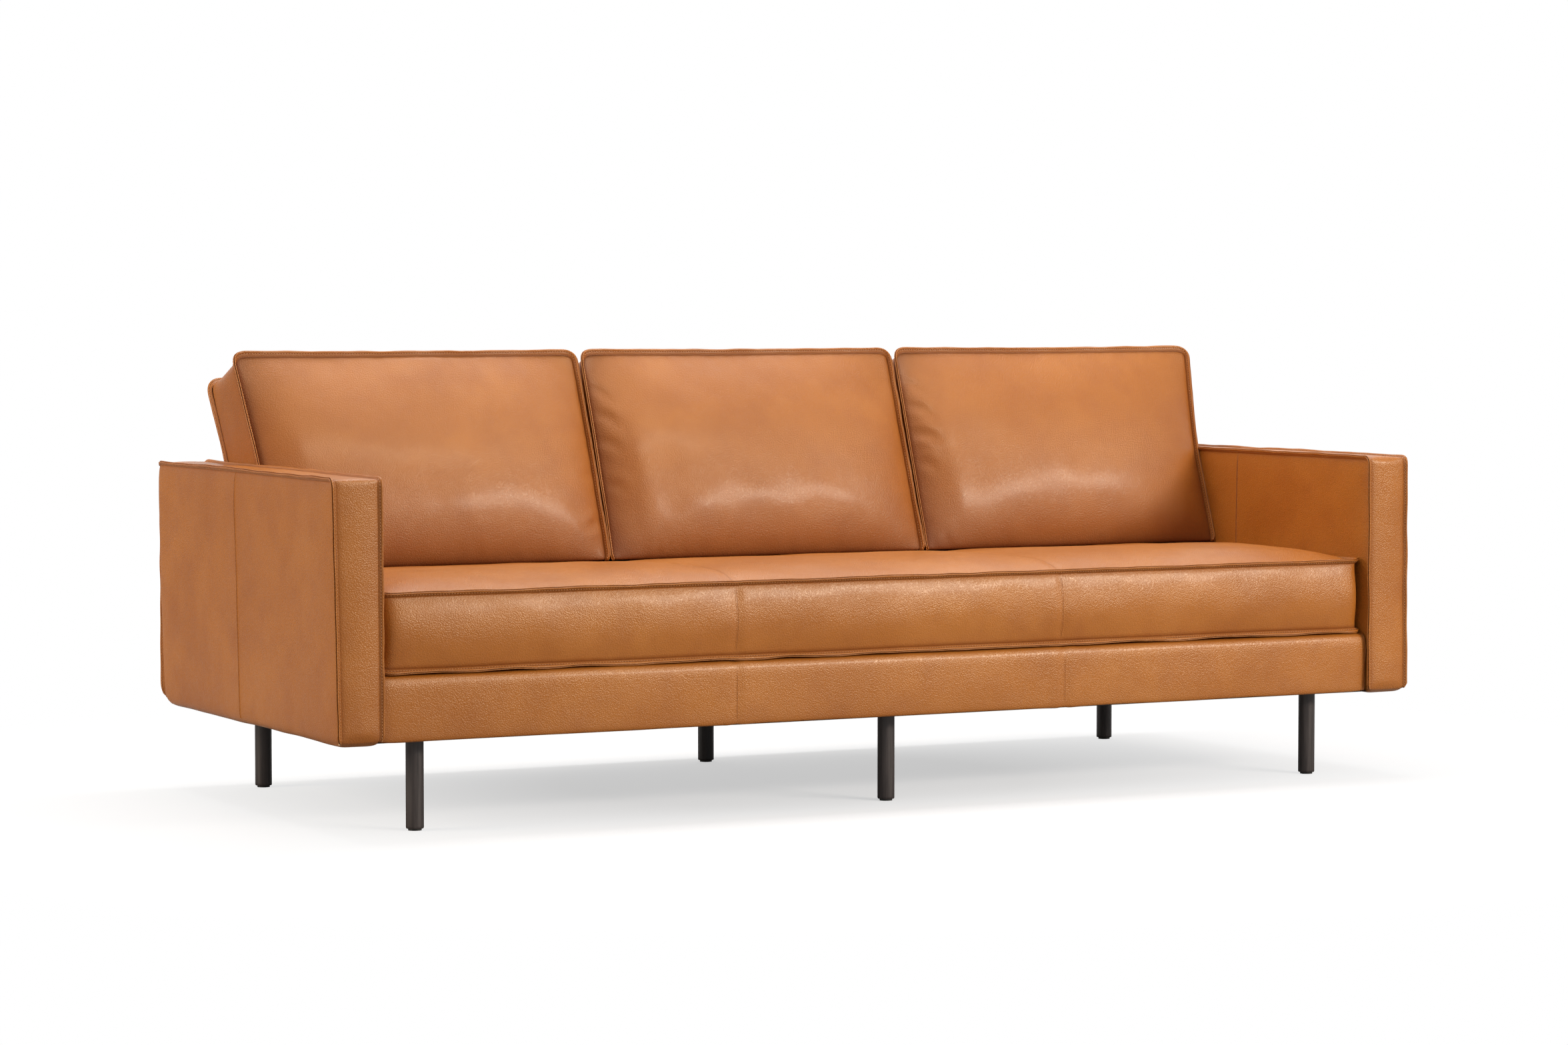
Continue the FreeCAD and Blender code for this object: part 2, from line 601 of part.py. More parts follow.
# ---------------------------------------------------------------- cushions
def build_seat_cushion():
    """Bench cushion: foam core in a leather cover, with a zip in the back boxing."""
    def cushion_block(name, inset):
        half = f"({INNER_HALF} - dims.seat_side_gap - {inset})"
        return block(name, (f"-{half}", f"(dims.seat_recess + {inset})", f"({SEAT_BASE} + {inset})"),
                     (f"2 * {half}", f"dims.seat_length - 2 * {inset}",
                      f"dims.seat_top - {SEAT_BASE} - 2 * {inset}"))

    solid = round_edges(cushion_block("seat_cushion_outside", "0"), "dims.seat_round", along_x)
    core = round_edges(cushion_block("seat_cushion_foam", "dims.leather"),
                       "dims.seat_round - dims.leather", along_x)
    node("seat_cushion_core", core)
    zip_base = f"(({SEAT_BASE} + dims.seat_top - dims.zip_height) / 2)"
    half_zip = f"({INNER_HALF} - dims.seat_side_gap - dims.zip_end)"
    strip = node("seat_cushion_zip", block(
        "seat_cushion_zip", (f"-{half_zip}", f"({SEAT_REAR} - dims.leather)", zip_base),
        (f"2 * {half_zip}", "dims.leather", "dims.zip_height")))
    node("seat_cushion_zip_slider", block(
        "seat_cushion_zip_slider", (f"-{half_zip}", f"({SEAT_REAR} + dims.slider_gap)", zip_base),
        ("dims.slider_length", "dims.slider_thick", "dims.zip_height")))
    node("seat_cushion_cover", cut("seat_cushion_cover", cut("seat_cushion_shell", solid, core), strip))


def build_back_cushion(place_name, order):
    """Loose back cushion leaning on the back: foam core, leather cover and a low back zip."""
    name = f"{place_name}_back_cushion"
    start = f"({INNER_WIDTH} / 3 * {order} - {INNER_HALF} + dims.back_side_gap)"
    up = "(dims.back_rise / cos(dims.recline))"

    def cushion_prism(label, inset):
        return prism(
            label,
            [slope(inset, f"({BACK_BASE} + {inset})"), lean(f"({up} - {inset})", inset),
             lean(f"({up} - {inset})", f"(dims.back_thick - {inset})"),
             slope(f"(dims.back_thick - {inset})", f"({BACK_BASE} + {inset})")],
            f"({start} + {inset})", f"{BACK_CUSHION_WIDTH} - 2 * {inset}")

    solid = round_edges(cushion_prism(f"{name}_outside", "0"), "dims.back_round", along_x)
    core = round_edges(cushion_prism(f"{name}_foam", "dims.leather"),
                       "dims.back_round - dims.leather", along_x)
    node(f"{name}_core", core)

    def zip_piece(label, front, thickness, x, length):
        low = "dims.back_zip_up"
        high = "(dims.back_zip_up + dims.zip_height)"
        rear = f"({front} + {thickness})"
        corners = [lean(low, front), lean(high, front), lean(high, rear), lean(low, rear)]
        return prism(label, corners, x, length)

    zip_start = f"({start} + dims.zip_end)"
    strip = node(f"{name}_zip", zip_piece(
        f"{name}_zip", "(dims.back_thick - dims.leather)", "dims.leather", zip_start,
        f"{BACK_CUSHION_WIDTH} - 2 * dims.zip_end"))
    node(f"{name}_zip_slider", zip_piece(
        f"{name}_zip_slider", "(dims.back_thick + dims.slider_gap)", "dims.slider_thick", zip_start,
        "dims.slider_length"))
    node(f"{name}_cover", cut(f"{name}_cover", cut(f"{name}_shell", solid, core), strip))


build_rails()
build_leg_blocks()
build_back_frame()
build_springs()
build_spring_clips()
build_deck()
for side, sign in (("left", -1), ("right", 1)):
    build_arm_frame(side, sign)
    build_arm_cover(side, sign)
build_front_band()
build_back_cover()
build_dust_cover()
build_legs()
build_leg_hardware()
build_seat_cushion()
for order, place_name in enumerate(("left", "middle", "right")):
    build_back_cushion(place_name, order)

# ---------------------------------------------------------------- checks and files
doc.recompute()
for item in doc.Objects:
    if "Invalid" in item.State or "Error" in item.State:
        raise RuntimeError(f"{item.Label} failed: {item.State}")
for name, item in nodes.items():
    shape = item.Shape
    if shape.isNull() or not shape.isValid() or not shape.Solids:
        raise RuntimeError(f"{name} has no valid solid")
os.makedirs("parts", exist_ok=True)
for name, item in nodes.items():
    item.Shape.exportStep(f"parts/{name}.step")
    print(name, len(item.Shape.Solids), "solid", round(item.Shape.Volume / 1000, 1), "cm3")
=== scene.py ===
"""Looks of the three-seat leather sofa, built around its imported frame.

Metres, in the frame's own axes: X to the right seen from the front, -Y the front, Z up.
Every leather piece is a lattice over a box, shaped by numpy, with its seams along the box's
edges; cushions are then swollen by a cloth simulation that holds those seams.
"""
import json
import math

import bpy
import numpy as np
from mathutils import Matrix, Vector


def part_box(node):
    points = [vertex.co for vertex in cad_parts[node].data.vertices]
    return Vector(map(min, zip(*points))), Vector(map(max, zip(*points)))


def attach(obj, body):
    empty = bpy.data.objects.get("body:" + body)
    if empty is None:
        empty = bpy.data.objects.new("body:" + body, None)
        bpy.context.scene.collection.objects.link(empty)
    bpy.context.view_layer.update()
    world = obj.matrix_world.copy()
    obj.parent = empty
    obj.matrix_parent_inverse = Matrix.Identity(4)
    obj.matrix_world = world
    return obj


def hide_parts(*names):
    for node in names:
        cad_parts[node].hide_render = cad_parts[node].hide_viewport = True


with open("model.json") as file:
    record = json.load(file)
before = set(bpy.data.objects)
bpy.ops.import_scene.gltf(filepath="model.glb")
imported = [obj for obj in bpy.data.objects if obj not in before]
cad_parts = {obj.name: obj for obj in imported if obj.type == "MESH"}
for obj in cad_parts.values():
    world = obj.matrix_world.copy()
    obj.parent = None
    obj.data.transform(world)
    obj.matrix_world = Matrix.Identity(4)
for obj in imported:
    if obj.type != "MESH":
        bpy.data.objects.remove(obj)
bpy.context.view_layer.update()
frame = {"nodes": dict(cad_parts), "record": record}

RECLINE = math.radians(20)
# raised seams: height above the panels, one leather ply, the gap between plies, and the stitches
SEAM_PROUD = 0.0084
PLY = 0.0019
SPLIT = 0.0012
STITCH_PITCH = 0.0054
STITCH_LEVEL = 0.0038
THREAD_SIZE = (0.0036, 0.00055, 0.00048)
SEAM_SAMPLE = 0.0045
# cushions: thickness of the back ones, their fullness, and the outlines' corner radii
BACK_THICK = 0.150
BACK_RISE = 0.401
BACK_BELLY = 0.050
BELLY_PEAK = 0.44
BACK_FOOT_RADIUS = 0.006
BACK_TOP_RADIUS = 0.021
SEAT_CORNER_RADIUS = 0.022
SEAT_CROWN = 0.0235
BOXING_BULGE = 0.0125
# rounded heels of the arms and of the back
HEEL_RADIUS = 0.036
BACK_SHOULDER_RADIUS = 0.020


# ---------------------------------------------------------------- camera, floor and light
def make_camera():
    camera = bpy.data.objects.new("camera", bpy.data.cameras.new("camera"))
    bpy.context.collection.objects.link(camera)
    camera.data.sensor_width = 36
    camera.data.lens = 95.77
    camera.location = (-3.790, -7.129, 0.926)
    camera.rotation_euler = (math.pi / 2 - 0.0525, 0, -0.4865)
    bpy.context.scene.camera = camera


def area_light(name, place, aim, width, depth, power, tint=(1, 1, 1)):
    light = bpy.data.lights.new(name, "AREA")
    light.shape = "RECTANGLE"
    light.size = width
    light.size_y = depth
    light.energy = power
    light.color = tint
    lamp = bpy.data.objects.new(name, light)
    bpy.context.collection.objects.link(lamp)
    lamp.location = place
    toward = np.array(aim, float) - np.array(place, float)
    lamp.rotation_euler = Vector(toward).to_track_quat("-Z", "Y").to_euler()
    return lamp


def shade_world(tree):
    """White to the camera; to the leather a soft room, brighter above, in front and to the right."""
    background = tree.nodes["Background"]
    direction = tree.nodes.new("ShaderNodeTexCoord").outputs["Generated"]
    facing = tree.nodes.new("ShaderNodeVectorMath")
    facing.operation = "DOT_PRODUCT"
    tree.links.new(direction, facing.inputs[0])
    facing.inputs[1].default_value = (0.42, -0.52, 0.74)
    level = tree.nodes.new("ShaderNodeMapRange")
    tree.links.new(facing.outputs["Value"], level.inputs["Value"])
    for name, number in (("From Min", -1.0), ("From Max", 1.0), ("To Min", 0.22), ("To Max", 0.66)):
        level.inputs[name].default_value = number
    behind = tree.nodes.new("ShaderNodeVectorMath")
    behind.operation = "DOT_PRODUCT"
    tree.links.new(direction, behind.inputs[0])
    behind.inputs[1].default_value = (0.62, 0.77, 0.12)
    backdrop = tree.nodes.new("ShaderNodeMapRange")
    tree.links.new(behind.outputs["Value"], backdrop.inputs["Value"])
    for name, number in (("From Min", 0.45), ("From Max", 0.95), ("To Min", 0.0), ("To Max", 0.55)):
        backdrop.inputs[name].default_value = number
    room = tree.nodes.new("ShaderNodeMath")
    tree.links.new(level.outputs[0], room.inputs[0])
    tree.links.new(backdrop.outputs[0], room.inputs[1])
    seen = tree.nodes.new("ShaderNodeLightPath").outputs["Is Camera Ray"]
    strength = tree.nodes.new("ShaderNodeMix")
    tree.links.new(seen, strength.inputs[0])
    tree.links.new(room.outputs[0], strength.inputs[2])
    strength.inputs[3].default_value = 1.0
    background.inputs["Color"].default_value = (1, 1, 1, 1)
    tree.links.new(strength.outputs[0], background.inputs["Strength"])


def make_studio():
    world = bpy.data.worlds.new("studio")
    bpy.context.scene.world = world
    world.use_nodes = True
    shade_world(world.node_tree)
    area_light("overhead", (0.2, 0.55, 3.2), (0.2, 0.0, 0.4), 3.8, 1.0, 84)
    area_light("key", (3.3, -5.5, 2.7), (0.25, 0, 0.45), 3.0, 0.9, 270, (1.0, 0.93, 0.86))
    area_light("fill", (-4.8, 0.5, 1.6), (-1.0, 0, 0.4), 2.0, 1.8, 100, (1.0, 0.88, 0.72))
    # strips that only show as gloss on the leather
    for name, place, aim, width, power in (("sheen", (3.3, -5.4, 2.8), (0.2, 0, 0.55), 2.5, 160),
                                           ("edge_sheen", (0.6, -4.2, 4.6), (0.2, -0.4, 0.4), 3.4, 150)):
        strip = area_light(name, place, aim, width, 0.5, power, (1.0, 0.84, 0.60))
        strip.visible_diffuse = False
    mesh = bpy.data.meshes.new("floor")
    half = 30.0
    corners = [(-half, -half, 0), (half, -half, 0), (half, half, 0), (-half, half, 0)]
    mesh.from_pydata(corners, [], [(0, 1, 2, 3)])
    floor = bpy.data.objects.new("floor", mesh)
    bpy.context.collection.objects.link(floor)
    mesh.materials.append(floor_material())
    bpy.context.scene.view_settings.view_transform = "Standard"


# ---------------------------------------------------------------- materials
class Nodes:
    """Short hand for building a node material."""

    def __init__(self, name):
        self.material = bpy.data.materials.new(name)
        self.material.use_nodes = True
        self.tree = self.material.node_tree
        self.shader = self.tree.nodes["Principled BSDF"]
        self.place = self.add("ShaderNodeTexCoord").outputs["Object"]

    def add(self, kind, **settings):
        node = self.tree.nodes.new(kind)
        for key, value in settings.items():
            setattr(node, key, value)
        return node

    def put(self, socket, value):
        if isinstance(value, bpy.types.NodeSocket):
            self.tree.links.new(value, socket)
        else:
            socket.default_value = value

    def stretched(self, scale):
        mapping = self.add("ShaderNodeMapping")
        self.put(mapping.inputs["Vector"], self.place)
        mapping.inputs["Scale"].default_value = scale
        return mapping.outputs["Vector"]

    def noise(self, scale, detail=2.0, rough=0.5, vector=None, warp=0.0):
        node = self.add("ShaderNodeTexNoise")
        self.put(node.inputs["Vector"], vector or self.place)
        node.inputs["Scale"].default_value = scale
        node.inputs["Detail"].default_value = detail
        node.inputs["Roughness"].default_value = rough
        node.inputs["Distortion"].default_value = warp
        return node.outputs["Fac"]

    def cells(self, scale, feature="F1", vector=None, randomness=1.0):
        node = self.add("ShaderNodeTexVoronoi", feature=feature)
        self.put(node.inputs["Vector"], vector or self.place)
        node.inputs["Scale"].default_value = scale
        node.inputs["Randomness"].default_value = randomness
        return node.outputs["Distance"]

    def ramp(self, value, stops):
        node = self.add("ShaderNodeValToRGB")
        self.put(node.inputs["Fac"], value)
        elements = node.color_ramp.elements
        while len(elements) < len(stops):
            elements.new(0.5)
        for element, (position, colour) in zip(elements, stops):
            element.position = position
            element.color = (*colour, 1) if len(colour) == 3 else colour
        return node.outputs["Color"]

    def math(self, kind, a, b=0.0, clamp=False):
        node = self.add("ShaderNodeMath", operation=kind, use_clamp=clamp)
        self.put(node.inputs[0], a)
        self.put(node.inputs[1], b)
        return node.outputs[0]

    def span(self, value, low, high, to_low, to_high):
        node = self.add("ShaderNodeMapRange")
        for socket, number in zip(node.inputs, (value, low, high, to_low, to_high)):
            self.put(socket, number)
        return node.outputs[0]

    def mix(self, factor, a, b, blend="MIX"):
        node = self.add("ShaderNodeMix", data_type="RGBA", blend_type=blend)
        self.put(node.inputs[0], factor)
        self.put(node.inputs[6], a)
        self.put(node.inputs[7], b)
        return node.outputs[2]

    def bump(self, height, strength, distance, normal=None):
        node = self.add("ShaderNodeBump")
        node.inputs["Strength"].default_value = strength
        node.inputs["Distance"].default_value = distance
        self.put(node.inputs["Height"], height)
        if normal:
            self.put(node.inputs["Normal"], normal)
        return node.outputs["Normal"]

    def attribute(self, name):
        node = self.add("ShaderNodeAttribute", attribute_name=name)
        return node.outputs["Fac"]

    def finish(self, colour=None, roughness=None, normal=None, **plain):
        if colour is not None:
            self.put(self.shader.inputs["Base Color"], colour)
        if roughness is not None:
            self.put(self.shader.inputs["Roughness"], roughness)
        if normal is not None:
            self.put(self.shader.inputs["Normal"], normal)
        for key, value in plain.items():
            self.shader.inputs[key.replace("_", " ").title().replace("Ior", "IOR")].default_value = value
        return self.material


def floor_material():
    """Pale sweep: the camera sees it half lit from within, so its shadow stays light."""
    n = Nodes("studio_floor")
    seen = n.add("ShaderNodeLightPath").outputs["Is Camera Ray"]
    pale = n.ramp(n.noise(0.8), [(0.3, (0.90, 0.90, 0.90)), (0.7, (0.92, 0.92, 0.92))])
    n.finish(n.mix(seen, (0.34, 0.34, 0.34, 1), pale), 0.9, specular_ior_level=0.0)
    glow = n.add("ShaderNodeEmission")
    glow.inputs["Strength"].default_value = 1.0
    blend = n.add("ShaderNodeMixShader")
    away = n.add("ShaderNodeVectorMath", operation="LENGTH")
    n.put(away.inputs[0], n.place)
    n.put(blend.inputs[0], n.math("MULTIPLY", seen, n.span(away.outputs["Value"], 0.45, 2.0, 0.55, 1.0)))
    n.tree.links.new(n.shader.outputs[0], blend.inputs[1])
    n.tree.links.new(glow.outputs[0], blend.inputs[2])
    n.tree.links.new(blend.outputs[0], n.tree.nodes["Material Output"].inputs["Surface"])
    return n.material


def leather_material(name="leather", tone=1.0):
    """Tan aniline leather: mottled dye, pebbled grain, darker with painted shade in its seams and folds."""
    n = Nodes(name)
    cloud = n.noise(2.6, 3.0, 0.55, warp=0.4)
    colour = n.ramp(cloud, [(0.30, (0.370 * tone, 0.113 * tone, 0.0130 * tone)),
                            (0.52, (0.425 * tone, 0.138 * tone, 0.0190 * tone)),
                            (0.74, (0.480 * tone, 0.167 * tone, 0.0270 * tone))])
    blotch = n.noise(17.0, 2.0, 0.5)
    colour = n.mix(n.span(blotch, 0.42, 0.75, 0.0, 0.34), colour, (0.315, 0.086, 0.012, 1))
    grain_place = n.noise(90.0, 2.0)
    pebble = n.cells(420.0)
    fine = n.noise(1500.0, 2.0)
    # painted shade: each piece's shade values mix the leather towards dark brown, and make it rougher
    shaded = n.math("MULTIPLY", n.attribute("painted_shade"), 0.9, clamp=True)
    colour = n.mix(shaded, colour, (0.15, 0.030, 0.003, 1))
    roughness = n.math("ADD", n.span(n.noise(38.0, 3.0), 0.3, 0.7, 0.32, 0.39),
                       n.span(grain_place, 0.35, 0.65, -0.02, 0.03))
    roughness = n.math("ADD", roughness, n.math("MULTIPLY", n.attribute("painted_shade"), 0.35), clamp=True)
    swell = n.math("ADD", n.span(pebble, 0.0, 0.75, 1.0, 0.0), n.math("MULTIPLY", fine, 0.25))
    normal = n.bump(n.noise(21.0, 2.0, 0.5), 0.22, 0.0030)
    normal = n.bump(swell, 0.70, 0.0006, normal)
    return n.finish(colour, roughness, normal, specular_ior_level=0.45, specular_tint=(1.0, 0.90, 0.76, 1),
                    coat_weight=0.08, coat_roughness=0.20)


def thread_material():
    n = Nodes("thread")
    twist = n.noise(2200.0, 1.0)
    colour = n.ramp(twist, [(0.35, (0.46, 0.19, 0.06)), (0.65, (0.64, 0.31, 0.13))])
    return n.finish(colour, 0.62, n.bump(twist, 0.5, 0.0002))


def leg_wood_material():
    """Wood stained nearly black, with its grain running down the leg."""
    n = Nodes("leg_wood")
    grain = n.noise(240.0, 4.0, 0.6, n.stretched((1, 1, 0.045)))
    colour = n.ramp(grain, [(0.35, (0.032, 0.0240, 0.0220)), (0.65, (0.056, 0.0430, 0.0395))])
    roughness = n.span(grain, 0.3, 0.7, 0.34, 0.46)
    return n.finish(colour, roughness, n.bump(grain, 0.25, 0.0004), specular_ior_level=0.5)


def timber_material():
    n = Nodes("timber")
    wave = n.noise(60.0, 4.0, 0.6, n.stretched((0.06, 1, 1)))
    colour = n.ramp(wave, [(0.3, (0.42, 0.25, 0.12)), (0.7, (0.62, 0.43, 0.25))])
    return n.finish(colour, 0.7, n.bump(wave, 0.3, 0.0005))


def woven_material(name, dark, light, pitch=900.0):
    """Plain weave: two sets of threads that cross."""
    n = Nodes(name)
    across = n.add("ShaderNodeTexWave", bands_direction="X")
    along = n.add("ShaderNodeTexWave", bands_direction="Y")
    for wave in (across, along):
        n.put(wave.inputs["Vector"], n.place)
        wave.inputs["Scale"].default_value = pitch / 6.28
        wave.inputs["Distortion"].default_value = 0.6
    weave = n.math("MAXIMUM", across.outputs["Fac"], along.outputs["Fac"])
    worn = n.mix(n.noise(30.0, 3.0), (*dark, 1), (*light, 1))
    colour = n.mix(n.math("MULTIPLY", weave, 0.5), (*dark, 1), worn)
    return n.finish(colour, 0.9, n.bump(weave, 0.6, 0.0003), sheen_weight=0.2)


def foam_material():
    n = Nodes("foam")
    cell = n.cells(900.0)
    colour = n.ramp(cell, [(0.1, (0.62, 0.56, 0.38)), (0.6, (0.85, 0.80, 0.62))])
    return n.finish(colour, 0.95, n.bump(cell, 0.6, 0.0006))


def spunbond_material():
    """Black nonwoven cloth with a pressed dot pattern."""
    n = Nodes("dust_cloth")
    dots = n.cells(480.0, randomness=0.15)
    fibre = n.noise(700.0, 4.0, 0.7, n.stretched((1, 0.25, 1)))
    colour = n.mix(fibre, (0.010, 0.010, 0.011, 1), (0.035, 0.035, 0.037, 1))
    return n.finish(colour, 0.85, n.bump(n.math("ADD", dots, fibre), 0.5, 0.0003), sheen_weight=0.15)


def metal_material(name, colour, rough):
    n = Nodes(name)
    scratch = n.noise(800.0, 3.0, 0.6, n.stretched((0.1, 1, 1)))
    return n.finish(n.mix(scratch, (*colour, 1), (*[c * 0.7 for c in colour], 1)),
                    n.span(scratch, 0.3, 0.7, rough - 0.06, rough + 0.08),
                    n.bump(scratch, 0.15, 0.0002), metallic=1.0)


def plastic_material(name, colour):
    n = Nodes(name)
    speck = n.noise(500.0, 3.0)
    mottled = n.mix(speck, (*colour, 1), (*[c * 0.8 for c in colour], 1))
    return n.finish(mottled, 0.45, n.bump(speck, 0.2, 0.0002))


def board_material():
    n = Nodes("fibreboard")
    fibre = n.noise(350.0, 5.0, 0.7)
    mottled = n.mix(fibre, (0.24, 0.15, 0.08, 1), (0.42, 0.29, 0.17, 1))
    return n.finish(mottled, 0.85, n.bump(fibre, 0.4, 0.0004))


MATERIALS = {
    "leather": leather_material(),
    "thread": thread_material(),
    "leg_wood": leg_wood_material(),
    "timber": timber_material(),
    "foam": foam_material(),
    "webbing": woven_material("webbing", (0.03, 0.028, 0.025), (0.08, 0.07, 0.06), 1500.0),
    "deck_cloth": woven_material("deck_cloth", (0.07, 0.045, 0.03), (0.14, 0.09, 0.06), 2400.0),
    "dust_cloth": spunbond_material(),
    "fibreboard": board_material(),
    "steel": metal_material("steel", (0.55, 0.55, 0.56), 0.35),
    "zip_tape": woven_material("zip_tape", (0.09, 0.04, 0.018), (0.17, 0.08, 0.035), 3000.0),
    "zip_metal": metal_material("zip_metal", (0.42, 0.27, 0.12), 0.38),
    "glide_plastic": plastic_material("glide_plastic", (0.045, 0.042, 0.040)),
}


# ---------------------------------------------------------------- meshes
def piece(name, points, faces, body, slot, material=None, smooth=True, shade=None):
    """Mesh object that rides on a body and takes its finish from a slot."""
    mesh = bpy.data.meshes.new(name)
    mesh.from_pydata([tuple(p) for p in np.asarray(points, float)], [], [tuple(f) for f in faces])
    mesh.validate()
    mesh.materials.append(MATERIALS[material or slot])
    mesh.polygons.foreach_set("use_smooth", [smooth] * len(mesh.polygons))
    # per-point painted shade, which the leather mixes into its colour
    if shade is not None:
        layer = mesh.attributes.new("painted_shade", "FLOAT", "POINT")
        layer.data.foreach_set("value", np.asarray(shade, np.float32))
    item = bpy.data.objects.new(name, mesh)
    bpy.context.collection.objects.link(item)
    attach(item, body)
    return item


def smoother(item, levels=1):
    """Subdivision surface on a finished piece."""
    modifier = item.modifiers.new("smoother", "SUBSURF")
    modifier.levels = levels
    modifier.render_levels = levels
    return item


def ticks(length, step, fine=None):
    """Fractions along an edge, closer together near its ends when fine is given."""
    if fine is None:
        return np.linspace(0, 1, max(2, round(length / step) + 1))
    near = [0.0]
    gap = fine
    while gap < step and near[-1] + gap < length / 2:
        near.append(near[-1] + gap)
        gap *= 1.6
    middle = length - 2 * near[-1]
    count = max(1, round(middle / step))
    inner = near[-1] + middle * np.arange(1, count) / count
    far = length - np.array(near[::-1])
    return np.concatenate([near, inner, far]) / length


def lattice(counts):
    """Cells on the surface of a box of so many steps, and the outward quads between them."""
    nx, ny, nz = counts
    index = {}

    def at(*cell):
        return index.setdefault(cell, len(index))

    faces = []

    def side(rows, columns, cell, flip):
        for a in range(rows):
            for b in range(columns):
                quad = [at(*cell(a, b)), at(*cell(a + 1, b)), at(*cell(a + 1, b + 1)), at(*cell(a, b + 1))]
                faces.append(quad[::-1] if flip else quad)

    for k in (0, nz):
        side(nx, ny, lambda a, b: (a, b, k), k == 0)
    for i in (0, nx):
        side(ny, nz, lambda a, b: (i, a, b), i == 0)
    for j in (0, ny):
        side(nx, nz, lambda a, b: (a, j, b), j != 0)
    return np.array(list(index), int), faces, index


def ripple(points, wavelength, seed, waves=9):
    """Smooth wandering value between about -1 and 1, from a few crossed waves."""
    rng = np.random.default_rng(seed)
    total = np.zeros(len(points))
    for _ in range(waves):
        direction = rng.normal(size=3)
        direction /= np.linalg.norm(direction)
        pitch = wavelength * rng.uniform(0.7, 1.5)
        total += np.sin(points @ direction * (2 * math.pi / pitch) + rng.uniform(0, 2 * math.pi))
    return total / math.sqrt(waves) / 1.4


def round_corners(points, axes, corners):
    """Bend square corners of an outline into quarter circles: (place, place, radius, sign, sign) each."""
    first, second = axes
    for first_place, second_place, radius, first_sign, second_sign in corners:
        a, b = points[:, first], points[:, second]
        p = (a - first_place) * first_sign / radius + 1
        q = (b - second_place) * second_sign / radius + 1
        inside = (p > 0) & (q > 0)
        p_in = np.clip(p, 0, 1)
        q_in = np.clip(q, 0, 1)
        p_new = p_in * np.sqrt(1 - q_in ** 2 / 2)
        q_new = q_in * np.sqrt(1 - p_in ** 2 / 2)
        a_new = np.where(inside, first_place + first_sign * radius * (p_new - 1), a)
        b_new = np.where(inside, second_place + second_sign * radius * (q_new - 1), b)
        points[:, first], points[:, second] = a_new, b_new


def box_lattice(extent, *steps):
    """Lattice over a box; each step is its spacing, and its spacing near the ends if that differs."""
    fractions = [ticks(length, *step) for length, step in zip(extent, steps)]
    cells, faces, index = lattice([len(f) - 1 for f in fractions])
    at = np.stack([fractions[c][cells[:, c]] for c in range(3)], 1)
    return fractions, cells, faces, index, at


def nearest(places, place):
    """Index of the place that lies nearest to a given one."""
    return int(np.argmin(np.abs(places - place)))


def edge_round(points, low, high, radius):
    """Ease the edges of a box; the radius may change from point to point."""
    radius = np.broadcast_to(np.asarray(radius, float), (len(points),))[:, None]
    core = np.clip(points, low + radius, high - radius)
    away = points - core
    length = np.linalg.norm(away, axis=1, keepdims=True)
    return np.where(length > 1e-9, core + away / np.maximum(length, 1e-9) * radius, points)


def normals_of(points, faces):
    """Unit normal at each point of a quad mesh."""
    quads = np.array(faces)
    total = np.zeros_like(points)
    face_normal = np.cross(points[quads[:, 2]] - points[quads[:, 0]],
                           points[quads[:, 3]] - points[quads[:, 1]])
    for corner in range(4):
        np.add.at(total, quads[:, corner], face_normal)
    return total / np.maximum(np.linalg.norm(total, axis=1, keepdims=True), 1e-12)


# ---------------------------------------------------------------- seams and stitches
def unit(vectors):
    return vectors / np.maximum(np.linalg.norm(vectors, axis=-1, keepdims=True), 1e-12)


def resample(path, outward, step, closed=False):
    """Even points along a path, with its outward directions carried along and softened."""
    path = np.asarray(path, float)
    outward = np.asarray(outward, float)
    if closed:
        path = np.vstack([path, path[:1]])
        outward = np.vstack([outward, outward[:1]])
    along = np.concatenate([[0], np.cumsum(np.linalg.norm(np.diff(path, axis=0), axis=1))])
    count = max(3, round(along[-1] / step))
    places = np.linspace(0, along[-1], count, endpoint=not closed)
    new_path = np.stack([np.interp(places, along, path[:, c]) for c in range(3)], 1)
    new_out = np.stack([np.interp(places, along, outward[:, c]) for c in range(3)], 1)
    for _ in range(2):
        if closed:
            new_path = (np.roll(new_path, 1, 0) + 2 * new_path + np.roll(new_path, -1, 0)) / 4
            new_out = (np.roll(new_out, 1, 0) + new_out + np.roll(new_out, -1, 0)) / 3
        else:
            new_path[1:-1] = (new_path[:-2] + 2 * new_path[1:-1] + new_path[2:]) / 4
            new_out[1:-1] = (new_out[:-2] + new_out[1:-1] + new_out[2:]) / 3
    return new_path, unit(new_out), along[-1]


def path_frame(path, outward, closed):
    """Tangent, outward and sideways directions at each point of a path."""
    if closed:
        tangent = unit(np.roll(path, -1, 0) - np.roll(path, 1, 0))
    else:
        tangent = unit(np.gradient(path, axis=0))
    outward = unit(outward - tangent * (outward * tangent).sum(1, keepdims=True))
    return tangent, outward, np.cross(tangent, outward)


def flange_profile():
    """Outline of two leather plies side by side: (sideways, outward, painted shade) triples."""
    outer = SPLIT / 2 + PLY
    top = SEAM_PROUD
    # painted shade is darkest in the split between the plies, at their foot on the panel and along the stitch
    # groove
    half = [(outer + 0.0002, -0.0040, 0.9), (outer, -0.0015, 0.6), (outer, 0.0010, 0.25),
            (outer, STITCH_LEVEL - 0.0010, 0.35), (outer - 0.0005, STITCH_LEVEL, 1.1),
            (outer, STITCH_LEVEL + 0.0010, 0.20), (outer, top - 0.0009, 0.0),
            (outer - 0.0004, top - 0.0002, 0.0), (outer - 0.0010, top, 0.0),
            (SPLIT / 2 + 0.0003, top - 0.0002, 0.1), (SPLIT / 2, top - 0.0008, 0.8),
            (SPLIT * 0.25, top - 0.0040, 1.1)]
    left = [(-side, up, dark) for side, up, dark in half]
    return np.array(left + half[::-1])


